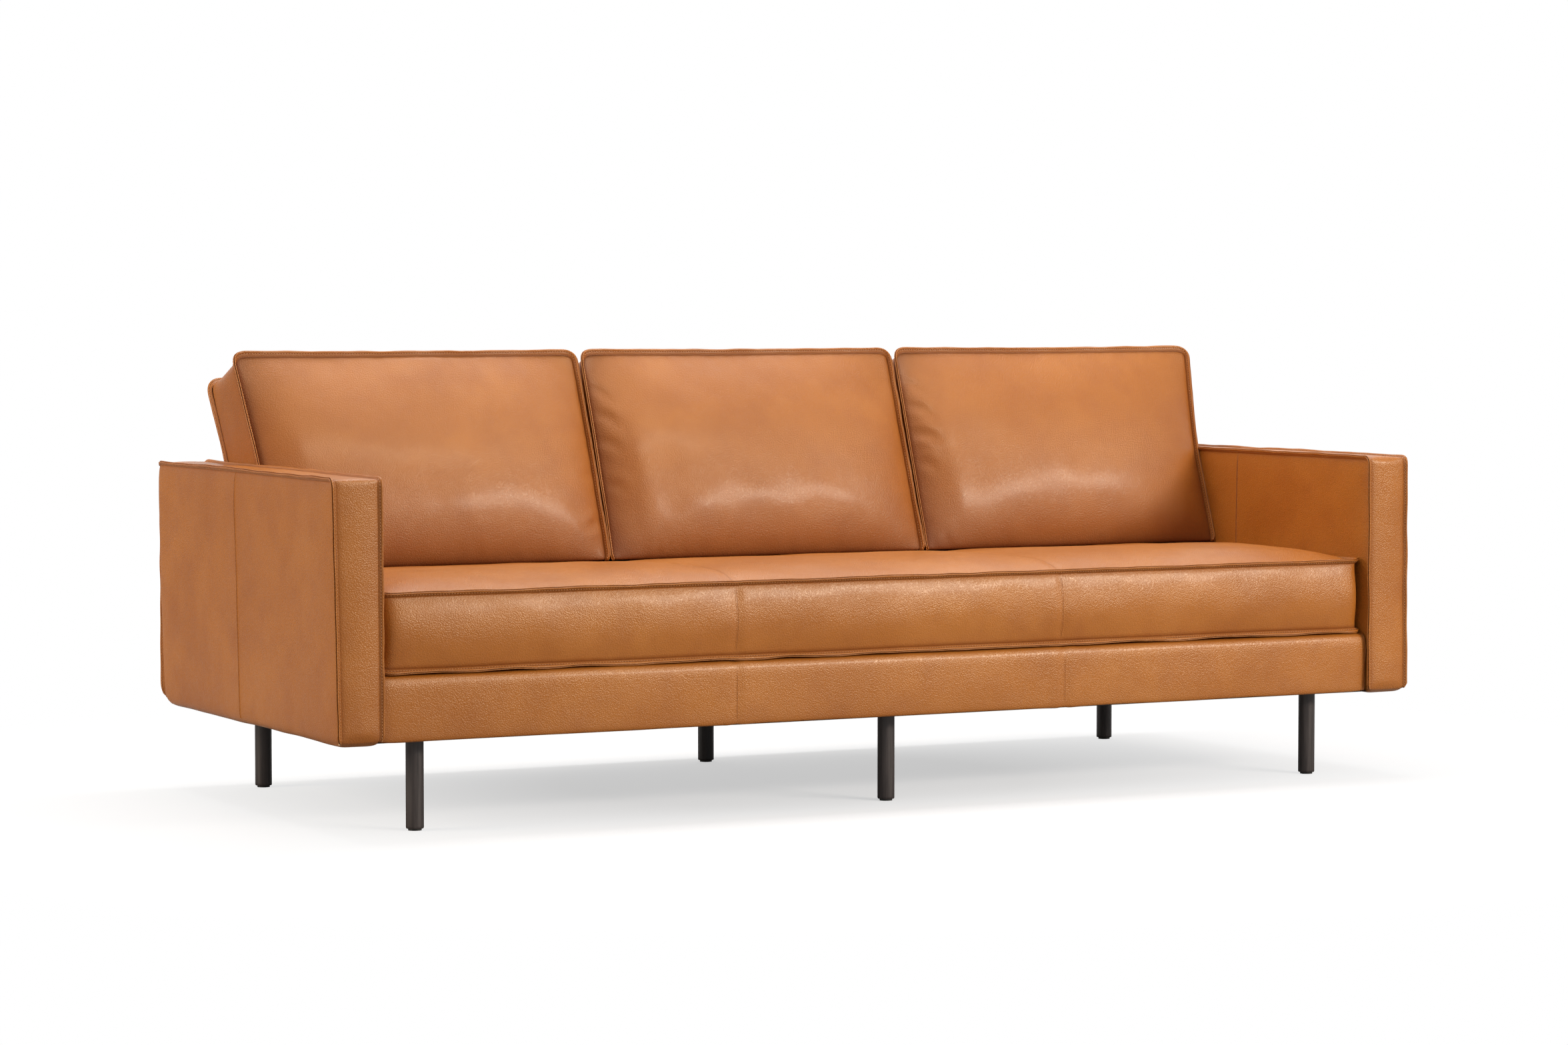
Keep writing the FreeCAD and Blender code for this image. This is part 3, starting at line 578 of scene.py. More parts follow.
def flange(name, path, outward, body, closed=False, sway=0.0006, seed=1, height=1.0, shade=0.0):
    """Raised double seam along a path, with its row of stitches through both plies."""
    path, outward, length = resample(path, outward, SEAM_SAMPLE, closed)
    tangent, outward, side = path_frame(path, outward, closed)
    lean_over = ripple(path, 0.11, seed) * sway * 1.6
    rise = 1 + 0.09 * ripple(path, 0.07, seed + 1)
    if not closed:
        from_end = np.minimum(np.arange(len(path)), np.arange(len(path))[::-1]) * SEAM_SAMPLE
        rise *= np.clip(0.35 + from_end / 0.012, 0, 1)
    profile = flange_profile()
    count, ring = len(path), len(profile)
    up = profile[None, :, 1] * np.where(profile[None, :, 1] > 0, rise[:, None] * height, 1)
    tilt = lean_over[:, None] * np.clip(profile[None, :, 1] / SEAM_PROUD, 0, 1) ** 1.5
    points = (path[:, None] + side[:, None] * (profile[None, :, 0, None] + tilt[..., None])
              + outward[:, None] * up[..., None]).reshape(-1, 3)
    faces = []
    last = count if closed else count - 1
    for i in range(last):
        here, there = i * ring, (i + 1) % count * ring
        for j in range(ring - 1):
            faces.append((here + j, here + j + 1, there + j + 1, there + j))
    if not closed:
        faces.append(tuple(range(ring - 1, -1, -1)))
        faces.append(tuple(range((count - 1) * ring, count * ring)))
    # painted shade from the profile, plus any given for the whole seam
    tone = np.tile(np.clip(profile[:, 2] + shade, 0, 1), count)
    seam = piece(name, points, faces, body, "leather", shade=tone)
    stitches(f"{name}_stitches", path, tangent, outward, side, length, body, closed)
    return seam


def stitches(name, path, tangent, outward, side, length, body, closed):
    """Short threads on both faces of a flange, a little above the panel."""
    count = max(2, int(length / STITCH_PITCH))
    source = np.linspace(0, len(path) - (0 if closed else 1), count, endpoint=False) + 0.5
    base = np.floor(source).astype(int) % len(path)
    upper = (base + 1) % len(path)
    part = (source - np.floor(source))[:, None]

    def between(values):
        return values[base] * (1 - part) + values[upper] * part

    centre, along, out, across = (between(v) for v in (path, tangent, outward, side))
    rings = [(-0.5, 0.0), (-0.36, 0.8), (0.0, 1.0), (0.36, 0.8), (0.5, 0.0)]
    sides = 6
    template = [(rings[0][0], 0.0, 0.0)]
    for reach, radius in rings[1:-1]:
        for s in range(sides):
            angle = 2 * math.pi * s / sides
            template.append((reach, radius * math.cos(angle), radius * math.sin(angle)))
    template.append((rings[-1][0], 0.0, 0.0))
    template = np.array(template) * THREAD_SIZE
    cell = []
    for s in range(sides):
        t = (s + 1) % sides
        cell.append((0, 1 + t, 1 + s))
        for r in range(2):
            a, b = 1 + r * sides, 1 + (r + 1) * sides
            cell.append((a + s, a + t, b + t, b + s))
        cell.append((1 + 2 * sides + s, 1 + 2 * sides + t, len(template) - 1))
    points = []
    faces = []
    for sign in (-1, 1):
        middle = centre + out * STITCH_LEVEL + across * sign * (SPLIT / 2 + PLY)
        block = (middle[:, None] + along[:, None] * template[None, :, 0, None]
                 + out[:, None] * template[None, :, 1, None] + across[:, None] * template[None, :, 2, None])
        start = len(points) * len(template) * count
        points.append(block.reshape(-1, 3))
        offsets = start + np.arange(count) * len(template)
        faces += [tuple(int(o) + v for v in f) for o in offsets for f in cell]
    return piece(name, np.vstack(points), faces, body, "leather", "thread")


def plain_seam(name, path, outward, body, width=0.0022, closed=False, lift=0.0003):
    """Flat seam between two panels: two soft lips with a dark line of painted shade between them."""
    path, outward, _ = resample(path, outward, 0.006, closed)
    _, outward, side = path_frame(path, outward, closed)
    path = path + outward * lift
    half = [(width * 1.2, -0.0014), (width * 0.8, 0.0), (0.0012, 0.0004), (0.0009, -0.0004)]
    profile = np.array([(-across, up) for across, up in half] + half[::-1])
    ring, count = len(profile), len(path)
    points = (path[:, None] + side[:, None] * profile[None, :, 0, None]
              + outward[:, None] * profile[None, :, 1, None]).reshape(-1, 3)
    faces = []
    for i in range(count if closed else count - 1):
        here, there = i * ring, (i + 1) % count * ring
        faces += [(here + j, here + j + 1, there + j + 1, there + j) for j in range(ring - 1)]
    # painted shade in the groove between the lips
    tone = np.tile([0.0, 0.0, 0.2, 1.1, 1.1, 0.2, 0.0, 0.0], count)
    return piece(name, points, faces, body, "leather", shade=tone)


# ---------------------------------------------------------------- cloth
def swell(points, faces, hold, pressure=4.0, steps=20, spare=0.02, cap=0.022, stiff=12.0, bend=1.2):
    """Blow a closed leather form up round its held seams, with a little spare skin to fold."""
    mesh = bpy.data.meshes.new("cloth")
    mesh.from_pydata([tuple(p) for p in points], [], [tuple(f) for f in faces])
    item = bpy.data.objects.new("cloth", mesh)
    bpy.context.collection.objects.link(item)
    group = item.vertex_groups.new(name="seams")
    for level in np.unique(np.round(hold, 2)):
        if level > 0:
            group.add([int(i) for i in np.nonzero(np.round(hold, 2) == level)[0]], float(level), "REPLACE")
    modifier = item.modifiers.new("cloth", "CLOTH")
    settings = modifier.settings
    settings.quality = 6
    settings.mass = 0.3
    settings.tension_stiffness = stiff
    settings.compression_stiffness = stiff
    settings.shear_stiffness = stiff * 0.6
    settings.bending_stiffness = bend
    settings.tension_damping = 8
    settings.compression_damping = 8
    settings.air_damping = 3
    settings.vertex_group_mass = "seams"
    settings.pin_stiffness = 3
    settings.use_pressure = True
    settings.uniform_pressure_force = pressure
    settings.shrink_min = -spare
    settings.effector_weights.gravity = 0
    modifier.collision_settings.use_collision = False
    modifier.point_cache.frame_start = 1
    modifier.point_cache.frame_end = steps
    scene = bpy.context.scene
    for step in range(1, steps + 1):
        scene.frame_set(step)
    shaped = item.evaluated_get(bpy.context.evaluated_depsgraph_get()).to_mesh()
    moved = np.zeros(len(points) * 3, np.float32)
    shaped.vertices.foreach_get("co", moved)
    moved = moved.reshape(-1, 3).astype(float)
    bpy.data.objects.remove(item, do_unlink=True)
    bpy.data.meshes.remove(mesh)
    scene.frame_set(1)
    shift = moved - points
    length = np.linalg.norm(shift, axis=1, keepdims=True)
    shift *= cap * np.tanh(length / cap) / np.maximum(length, 1e-9)
    return points + shift


def relax(points, faces, free, rounds):
    """Even out small folds by moving each free point towards the middle of its neighbours."""
    quads = np.array(faces)
    near = np.concatenate([quads[:, [a, (a + 1) % 4]] for a in range(4)])
    near = np.concatenate([near, near[:, ::-1]])
    count = np.bincount(near[:, 0], minlength=len(points))[:, None]
    for _ in range(rounds):
        total = np.zeros_like(points)
        np.add.at(total, near[:, 0], points[near[:, 1]])
        points = points + (total / count - points) * 0.5 * free[:, None]
    return points


# ---------------------------------------------------------------- arms
def arm(side, sign):
    """One track arm: a softly pillowed form whose front and top edges carry raised seams."""
    outer_low, outer_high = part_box(f"{side}_arm_outer_panel")
    inner_low, inner_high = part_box(f"{side}_arm_inner_panel")
    low = np.array([min(outer_low.x, inner_low.x), outer_low.y, outer_low.z])
    high = np.array([max(outer_high.x, inner_high.x), outer_high.y - 0.006, outer_high.z])
    # the seams' plies stand proud of the panels, so the form starts a little inside
    low += (0.003, 0.003, 0.001)
    high -= (0.003, 0.0, -0.001)
    extent = high - low
    fractions, cells, faces, index, at = box_lattice(extent, (0.011, 0.003), (0.014, 0.003), (0.014, 0.003))
    flat = low + at * extent
    x, y, z = flat.T
    last = [len(f) - 1 for f in fractions]
    on_outer = cells[:, 0] == (0 if sign < 0 else last[0])
    on_inner = cells[:, 0] == (last[0] if sign < 0 else 0)
    on_face = on_outer | on_inner
    from_front = y - low[1]
    from_top = high[2] - z
    from_rear = high[1] - y
    from_foot = z - low[2]
    edge_x = np.minimum(x - low[0], high[0] - x)
    seam_gap = np.where(on_face, np.minimum(from_front, from_top), edge_x)
    rim_has_seam = on_face | (from_front < 1e-6) | (from_top < 1e-6)
    seam_gap = np.where(rim_has_seam, seam_gap, 1.0)

    near_wrap = np.minimum(from_rear, from_foot)
    near_seam = np.minimum(from_front, from_top)
    radius = np.where(near_wrap < near_seam, 0.013, 0.0035)
    shaped = edge_round(flat, low, high, radius)
    normal = normals_of(shaped, faces)
    # panels fill out away from their seams and dip beside them
    fill = 0.0042 * (1 - np.exp(-seam_gap / 0.030)) - 0.0016 * np.exp(-(seam_gap / 0.005) ** 2)
    fill += 0.0010 * ripple(flat, 0.33, 11 + sign) + 0.0005 * ripple(flat, 0.12, 21 + sign)
    join_y = 0.032 if sign < 0 else 0.008
    cross = np.abs(y - join_y)
    valley = 0.0013 * np.exp(-(cross / 0.004) ** 2) - 0.0006 * np.exp(-(cross / 0.020) ** 2)
    fill -= np.where(on_face, valley, 0)
    shaped = shaped + normal * fill[:, None]
    # outline seen from the side: soft corners behind, tighter ones in front
    outline = ((high[1], low[2], HEEL_RADIUS, 1, -1), (high[1], high[2], 0.026, 1, 1),
               (low[1], high[2], 0.005, -1, 1), (low[1], low[2], 0.010, -1, -1))
    round_corners(shaped, (1, 2), outline)
    # the arm leans out a little towards its top
    height = np.clip((shaped[:, 2] - low[2]) / extent[2], 0, 1)
    depth = np.clip((y - low[1]) / extent[1], 0, 1)
    if sign < 0:
        foot_shift = 0.0070 - 0.0020 * depth
        top_shift = -0.0030 - 0.0040 * depth
        shift = np.where(x < (low[0] + high[0]) / 2, foot_shift + (top_shift - foot_shift) * height, 0.002)
    else:
        shift = np.where(x > (low[0] + high[0]) / 2, 0.002 - 0.002 * height, -0.001 - 0.001 * height)
    shaped[:, 0] += shift
    # painted shade: darker beside the seams, where the panel dips, and towards the arm's foot
    tone = np.exp(-(seam_gap / 0.005)) * 0.45 + 0.25 * np.exp(-from_foot / 0.03)
    cover = smoother(piece(f"{side}_arm_cover", shaped, faces, "frame", "leather", shade=np.clip(tone, 0, 1)))
    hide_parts(f"{side}_arm_outer_panel", f"{side}_arm_inner_panel", f"{side}_arm_edge_strip",
                f"{side}_arm_padding")

    for which, column in (("outer", 0 if sign < 0 else last[0]), ("inner", last[0] if sign < 0 else 0)):
        outward_x = sign if which == "outer" else -sign
        route = [(column, 0, k) for k in range(0, last[2] + 1)]
        route += [(column, j, last[2]) for j in range(1, last[1] + 1)]
        ids = [index[cell] for cell in route]
        rim = np.array([(0, -1, 0)] * (last[2]) + [(0, -0.7, 0.7)] + [(0, 0, 1)] * last[1], float)
        spread = np.where(rim[:, 1] < -0.9, 0.95 if which == "inner" else 0.75, 0.60)
        outward = rim * 0.62
        outward[:, 0] = outward_x * spread
        path = shaped[ids]
        keep = path[:, 1] < high[1] - 0.010
        flange(f"{side}_arm_{which}_seam", path[keep], outward[keep], "frame",
               seed=31 + 2 * sign, sway=0.0005)

        row = nearest(low[1] + fractions[1] * extent[1], join_y)
        ids = [index[(column, row, k)] for k in range(2, last[2])]
        plain_seam(f"{side}_arm_{which}_panel_seam", shaped[ids], np.tile((outward_x, 0, 0), (len(ids), 1)),
                   "frame", width=0.0020, lift=0.0005)

    # plain seam across the top of the front, where the strip is joined
    ids = [index[(i, 0, last[2])] for i in range(last[0] + 1)]
    plain_seam(f"{side}_arm_corner_seam", shaped[ids] + (0, 0.0010, -0.0014),
               np.tile((0, -0.7, 0.7), (len(ids), 1)), "frame", width=0.0016)


# ---------------------------------------------------------------- front band
def front_band():
    """Upholstered rail under the seat, its leather sewn from three panels."""
    low, high = (np.array(v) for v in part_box("front_band_cover"))
    high[1] = low[1] + 0.055
    extent = high - low
    fractions, _, faces, index, at = box_lattice(extent, (0.012,), (0.008, 0.004), (0.010, 0.004))
    flat = low + at * extent
    x, y, z = flat.T
    radius = np.where(z > (low[2] + high[2]) / 2, 0.017, 0.006)
    shaped = edge_round(flat, low + (-0.02, 0, 0), high + (0.02, 0, 0), radius)
    normal = normals_of(shaped, faces)
    joints = low[0] + extent[0] * np.array([1, 2]) / 3
    gap = np.min(np.abs(x[:, None] - joints), axis=1)
    fill = -0.0028 * np.exp(-(gap / 0.0055) ** 2) + 0.0012 * np.exp(-(gap / 0.028) ** 2)
    fill += 0.0012 * np.sin(math.pi * np.clip((z - low[2]) / extent[2], 0, 1))
    fill += 0.0009 * ripple(flat * (1, 1, 0.5), 0.30, 5) + 0.0005 * ripple(flat, 0.10, 6)
    end = np.minimum(x - low[0], high[0] - x)
    fill -= 0.003 * np.exp(-end / 0.010)
    shaped = shaped + normal * np.where(y < high[1] - 0.004, fill, 0)[:, None]
    # painted shade: darker at the ends, against the arms, and along the foot, under the seat's overhang
    tone = 0.4 * np.exp(-end / 0.006) + 0.25 * np.exp(-(z - low[2]) / 0.02)
    band = smoother(piece("front_band", shaped, faces, "frame", "leather", shade=np.clip(tone, 0, 1)))
    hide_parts("front_band_cover", "front_band_padding")
    top = len(fractions[2]) - 1
    for order, joint in enumerate(joints, start=1):
        column = nearest(low[0] + fractions[0] * extent[0], joint)
        ids = [index[(column, 0, k)] for k in range(top + 1)]
        ids += [index[(column, j, top)] for j in (1, 2)]
        outward = np.array([(0, -1, 0)] * (top - 1) + [(0, -0.7, 0.7), (0, -0.4, 0.9), (0, 0, 1), (0, 0, 1)])
        plain_seam(f"front_band_seam_{order}", shaped[ids], outward[:len(ids)], "frame",
                   width=0.0026, lift=0.0011)


# ---------------------------------------------------------------- seat cushion
def seat_cushion():
    """Bench cushion: boxed, with raised seams round its top and bottom and three sewn panels."""
    low, high = (np.array(v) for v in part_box("seat_cushion_cover"))
    low += (0.004, 0.003, 0.004)
    high -= (0.004, 0.0, 0.011)
    extent = high - low
    fractions, cells, faces, index, at = box_lattice(extent, (0.0115,), (0.0115,), (0.0105,))
    last = [len(f) - 1 for f in fractions]
    points = low + at * extent
    round_corners(points, (0, 1), [(corner_x, corner_y, SEAT_CORNER_RADIUS, sx, sy)
                                   for sx, corner_x in ((-1, low[0]), (1, high[0]))
                                   for sy, corner_y in ((-1, low[1]), (1, high[1]))])
    on_top = cells[:, 2] == last[2]
    on_foot = cells[:, 2] == 0
    from_front = at[:, 1] * extent[1]
    from_side = np.minimum(at[:, 0], 1 - at[:, 0]) * extent[0]
    joints = np.array([-1 / 3, 1 / 3])
    gap = np.min(np.abs(at[:, 0, None] * 2 - 1 - joints), axis=1) * extent[0] / 2
    settle = np.clip((from_front - 0.26) / 0.24, 0, 1)
    crown = (1 - np.exp(-from_front / 0.030)) * (1 - np.exp(-from_side / 0.028))
    crown *= (SEAT_CROWN - 0.0125 * settle ** 2 * (3 - 2 * settle)) * (1 - 0.10 * np.exp(-(gap / 0.05) ** 2))
    points[:, 2] += np.where(on_top, crown, 0)
    rim = ~on_top & ~on_foot
    seam = (cells[:, 2] == last[2]) | (cells[:, 2] == 0)
    boxing = ((cells[:, 0] == 0) | (cells[:, 0] == last[0]) | (cells[:, 1] == 0) | (cells[:, 1] == last[1]))
    on_seam = seam & boxing
    belly = np.sin(math.pi * at[:, 2])
    points[:, 1] += np.where(rim & (cells[:, 1] == 0), -BOXING_BULGE * belly, 0)
    sewn = (gap < 0.006) & (boxing & (cells[:, 1] == 0) | on_top)
    hold = np.where(on_seam, 0.95, np.where(sewn, 0.55, 0.0))
    hold = np.where(on_foot & ~on_seam, 0.6, hold)
    base = points.copy()
    points = swell(points, faces, hold, pressure=3.0, steps=18, spare=0.0, cap=0.005, bend=8.0)
    points[on_seam] = base[on_seam] + (points[on_seam] - base[on_seam]) * 0.25
    points = relax(points, faces, np.where(on_seam, 0.0, 1.0), 6)

    normal = normals_of(points, faces)
    edge_gap = np.where(on_top | on_foot, np.minimum(np.minimum(at[:, 0], 1 - at[:, 0]) * extent[0],
                                                     np.minimum(at[:, 1], 1 - at[:, 1]) * extent[1]),
                        np.minimum(at[:, 2], 1 - at[:, 2]) * extent[2])
    pucker = 0.0011 * np.sin(points[:, 0] * 2 * math.pi / 0.034 + 2 * ripple(points, 0.2, 3))
    pucker *= 0.35 * np.exp(-edge_gap / 0.014) * (0.5 + 0.5 * ripple(points, 0.17, 4))
    fill = pucker * ~on_seam + 0.0012 * ripple(points, 0.26, 7) + 0.0006 * ripple(points, 0.09, 8)
    fill -= 0.0032 * np.exp(-(gap / 0.0065) ** 2) * ~on_foot - 0.0012 * np.exp(-(gap / 0.03) ** 2)
    points = points + normal * np.where(on_seam, 0.3 * fill, fill)[:, None]
    wave = 0.0007 * ripple(points * (1, 1, 0), 0.35, 9)
    points[:, 2] += np.where(on_foot, wave, wave * np.clip(1 - at[:, 2] * 3, 0, 1))
    points[:, 0] = np.clip(points[:, 0], -1.0405, 1.0405)
    points[:, 1] = np.clip(points[:, 1], -1, high[1] - 0.0002)
    points[:, 2] = np.maximum(points[:, 2], 0.2832)
    points[:, 2] = np.where(points[:, 1] > 0.075, np.minimum(points[:, 2], high[2] + 0.0112), points[:, 2])

    # painted shade: darker along the seams and edges, and over the whole underside
    tone = 0.35 * np.exp(-edge_gap / 0.006) + 0.35 * on_foot
    cover = smoother(piece("seat_cushion", points, faces, "seat_cushion", "leather",
                           shade=np.clip(tone, 0, 1)))
    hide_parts("seat_cushion_cover", "seat_cushion_core")
    ring = perimeter(last[0], last[1])
    for name, level, lift, weight in (("top", last[2], 0.62, 0.78), ("foot", 0, -0.50, 0.86)):
        ids = [index[(i, j, level)] for i, j in ring]
        away = np.array([outward_of(i, j, last[0], last[1]) for i, j in ring])
        lifts = np.full(len(ids), lift)
        if not level:
            # only the front of the lower seam droops; the rest clears the band when the cushion slides out
            lifts = -0.08 - 0.42 * np.clip(-away[:, 1], 0, 1) ** 2
        outward = np.stack([away[:, 0] * weight, away[:, 1] * weight, lifts], 1)
        flange(f"seat_cushion_{name}_seam", points[ids], outward, "seat_cushion", closed=True,
               seed=51 + level, sway=0.0007 if level else 0.0009, height=1.0 if level else 1.05)
    for order, joint in enumerate(joints, start=1):
        column = nearest(fractions[0] * 2 - 1, joint)
        front = [index[(column, 0, k)] for k in range(1, last[2])]
        plain_seam(f"seat_cushion_front_seam_{order}", points[front], np.tile((0, -1, 0), (len(front), 1)),
                   "seat_cushion", width=0.0027, lift=0.0013)
        top = [index[(column, j, last[2])] for j in range(1, last[1])]
        plain_seam(f"seat_cushion_top_seam_{order}", points[top], np.tile((0, 0, 1), (len(top), 1)),
                   "seat_cushion", width=0.0024, lift=0.0012)
    return points


def perimeter(columns, rows):
    """Cells round the edge of a grid, in order."""
    ring = [(i, 0) for i in range(columns)] + [(columns, j) for j in range(rows)]
    ring += [(i, rows) for i in range(columns, 0, -1)] + [(0, j) for j in range(rows, 0, -1)]
    return ring


def outward_of(i, j, columns, rows):
    """Unit direction out of a grid's edge at a cell of its perimeter."""
    a = -1 if i == 0 else 1 if i == columns else 0
    b = -1 if j == 0 else 1 if j == rows else 0
    length = math.hypot(a, b)
    return a / length, b / length


# ---------------------------------------------------------------- back cushions
CREASES = {
    # panel-fraction start, end, depth and width of the folds each cushion shows
    "left": [((0.985, 0.20), (0.93, 0.15), 0.0030, 0.009), ((0.98, 0.42), (0.95, 0.40), 0.0016, 0.010)],
    "middle": [((0.012, 0.82), (0.055, 0.76), 0.0022, 0.009), ((0.012, 0.70), (0.065, 0.63), 0.0026, 0.010),
               ((0.012, 0.57), (0.060, 0.50), 0.0022, 0.010), ((0.012, 0.36), (0.055, 0.31), 0.0018, 0.010),
               ((0.150, 0.015), (0.135, 0.07), 0.0030, 0.007)],
    "right": [((0.012, 0.84), (0.060, 0.78), 0.0020, 0.009), ((0.012, 0.72), (0.075, 0.65), 0.0026, 0.010),
              ((0.012, 0.58), (0.080, 0.52), 0.0030, 0.010), ((0.012, 0.44), (0.060, 0.38), 0.0022, 0.010),
              ((0.080, 0.015), (0.070, 0.09), 0.0028, 0.008)],
}


def back_cushion(place, order):
    """Loose cushion leaning on the back: crowned panels, boxing, raised seams back and front."""
    name = f"{place}_back_cushion"
    low, high = (np.array(v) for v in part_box(f"{name}_cover"))
    seat_top = low[2]
    foot_y = low[1]
    rise = BACK_RISE / math.cos(RECLINE)
    margin = 0.0045
    width = high[0] - low[0] - 2 * margin
    extent = np.array([width, BACK_THICK, rise])
    fractions, cells, faces, index, at = box_lattice(extent, (0.0105,), (0.0125,), (0.0105,))
    last = [len(f) - 1 for f in fractions]
    u, w, v = at.T
    local = at * extent
    round_corners(local, (0, 2), [(corner_x, corner_z, bend, sx, sz)
                                  for sx, corner_x in ((-1, 0), (1, width))
                                  for sz, corner_z, bend in ((-1, 0, BACK_FOOT_RADIUS),
                                                             (1, rise, BACK_TOP_RADIUS))])
    on_front = cells[:, 1] == 0
    on_rear = cells[:, 1] == last[1]
    rim = (cells[:, 0] == 0) | (cells[:, 0] == last[0]) | (cells[:, 2] == 0) | (cells[:, 2] == last[2])
    on_seam = rim & (on_front | on_rear)
    # sides draw in a little between the corners, and the top dips
    local[:, 0] += (0.5 - u) * 2 * 0.0022 * np.sin(math.pi * v)
    local[:, 2] -= np.where(v > 0.5, (0.0025 + 0.0020 * np.sin(math.pi * u)) * (2 * v - 1), 0)
    dome = np.clip(1 - np.abs(2 * u - 1) ** 4.0, 0, 1) ** 0.7
    rise_part = np.where(v < BELLY_PEAK, (BELLY_PEAK - v) / BELLY_PEAK, (v - BELLY_PEAK) / (1 - BELLY_PEAK))
    belly = np.clip(1 - rise_part ** 2, 0, 1) ** np.where(v < BELLY_PEAK, 0.56, 1.25)
    local[:, 1] -= np.where(on_front, BACK_BELLY * dome * belly, 0)
    hold = np.where(on_seam, 0.95, 0.0)
    hold = np.where(on_rear & ~on_seam, 0.3, hold)
    base = local.copy()
    local = swell(local, faces, hold, pressure=4.0, steps=20, spare=0.0, cap=0.022, bend=8.0)
    local[on_seam] = base[on_seam] + (local[on_seam] - base[on_seam]) * 0.25
    local = relax(local, faces, np.where(on_seam, 0.0, 1.0), 10)

    normal = normals_of(local, faces)
    side_gap = np.minimum(u, 1 - u) * width
    end_gap = np.minimum(v, 1 - v) * rise
    edge_gap = np.where(on_front | on_rear, np.minimum(side_gap, end_gap), np.minimum(w, 1 - w) * BACK_THICK)
    seed = 70 + 10 * order
    run = np.where(side_gap < end_gap, local[:, 2], local[:, 0])
    pucker = 0.0016 * np.sin(run * 2 * math.pi / 0.041 + 3 * ripple(local, 0.16, seed))
    pucker *= np.exp(-edge_gap / 0.022) * (0.55 + 0.45 * ripple(local, 0.13, seed + 1))
    fill = 0.6 * pucker + 0.0013 * ripple(local, 0.26, seed + 2) + 0.0004 * ripple(local, 0.085, seed + 3)
    ridge_reach = np.clip(np.sin(math.pi * np.clip((v - 0.10) / 0.62, 0, 1)), 0, 1)
    ridge = np.exp(-((u * width - 0.078) / 0.024) ** 2) - 0.6 * np.exp(-((u * width - 0.130) / 0.035) ** 2)
    fill += on_front * 0.0036 * ridge * ridge_reach * (0.35 if place == "left" else 1.0)
    # short upright folds where the cushion is pressed on the seat
    fill += on_front * 0.0007 * np.exp(-v * rise / 0.035) * np.sin(local[:, 0] * 2 * math.pi / 0.055
                                                                   + 4 * ripple(local, 0.21, seed + 4))
    for (u0, v0), (u1, v1), depth, spread in CREASES[place]:
        start = np.array([u0 * width, v0 * rise])
        step = np.array([u1 * width, v1 * rise]) - start
        length = np.linalg.norm(step)
        step /= length
        offset = local[:, [0, 2]] - start
        along = np.clip(offset @ step, 0, length)
        # the fold bows slightly as it runs into the panel
        bow = 0.006 * np.sin(math.pi * along / length)
        sideways = np.array([-step[1], step[0]])
        across = np.linalg.norm(offset - along[:, None] * step - bow[:, None] * sideways, axis=1)
        fade = np.sin(math.pi * np.clip(along / length * 0.85 + 0.12, 0, 1)) ** 0.7
        fill += on_front * fade * 1.35 * depth * (0.7 * np.exp(-((across - spread * 1.5) / spread) ** 2)
                                           - np.exp(-(across / (spread * 0.75)) ** 2))
    local = local + normal * np.where(on_seam, 0.25 * fill, fill)[:, None]
    local[:, 1] = np.minimum(local[:, 1], BACK_THICK - 0.0002)

    # into place: leaning back, with its foot flat on the seat
    points = np.stack([low[0] + margin + local[:, 0],
                       foot_y + local[:, 2] * math.sin(RECLINE) + local[:, 1] * math.cos(RECLINE),
                       seat_top + local[:, 2] * math.cos(RECLINE) - local[:, 1] * math.sin(RECLINE)], 1)
    points[:, 2] = np.where(points[:, 2] < seat_top + 0.004,
                            seat_top + 0.004 * np.exp((points[:, 2] - seat_top - 0.004) / 0.02), points[:, 2])
    # it fills its place between its neighbours, and spreads over the arm at the top
    above = np.clip((points[:, 2] - 0.60) / 0.22, 0, 1) ** 1.3
    middle = (low[0] + high[0]) / 2
    reach = (points[:, 0] - middle) / (high[0] - middle)
    if place == "left":
        points[:, 0] += np.where(reach < 0, reach * 0.021, reach * -0.004) * above
    elif place == "right":
        points[:, 0] += np.where(reach > 0, reach * 0.024, reach * -0.004) * above
    left_limit = -1.10 if place == "left" else low[0] - 0.0003
    right_limit = 1.10 if place == "right" else high[0] + 0.0003
    boxed = points[:, 2] < 0.628
    left_low = low[0] if place == "left" else left_limit
    right_low = high[0] if place == "right" else right_limit
    points[:, 0] = np.clip(points[:, 0], np.where(boxed, left_low, left_limit),
                           np.where(boxed, right_low, right_limit))

    # painted shade: the whole cushion a little darker, more along its seams, much more at its foot on the
    # seat and along its left side
    tone = 0.14 + 0.35 * np.exp(-edge_gap / 0.007) + 0.62 * np.exp(-v * rise / 0.060) * on_front
    tone += 0.55 * np.exp(-u * width / 0.035) * on_front
    cover = smoother(piece(name, points, faces, name, "leather", shade=np.clip(tone, 0, 1)))
    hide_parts(f"{name}_cover", f"{name}_core")
    # the seam runs up one side, over the top and down the other; its foot is tucked under
    ring = [(0, k) for k in range(last[2])] + [(i, last[2]) for i in range(last[0])]
    ring += [(last[0], k) for k in range(last[2], -1, -1)]
    for which, level, ahead in (("front", 0, -1), ("rear", last[1], 1)):
        ids = [index[(i, level, k)] for i, k in ring]
        away = np.array([outward_of(i, k, last[0], last[2]) if 0 < k else (-1.0 if i == 0 else 1.0, 0.0)
                         for i, k in ring])
        beside = np.abs(away[:, 0]) > 0.9
        crowd = np.where(beside, 0.40, 0.90)
        across = ahead * np.where(beside, 0.92, 0.42)
        outward = np.stack([away[:, 0] * crowd,
                            away[:, 1] * crowd * math.sin(RECLINE) + across * math.cos(RECLINE),
                            away[:, 1] * crowd * math.cos(RECLINE) - across * math.sin(RECLINE)], 1)
        flange(f"{name}_{which}_seam", points[ids], outward, name, seed=seed + 5 + level)


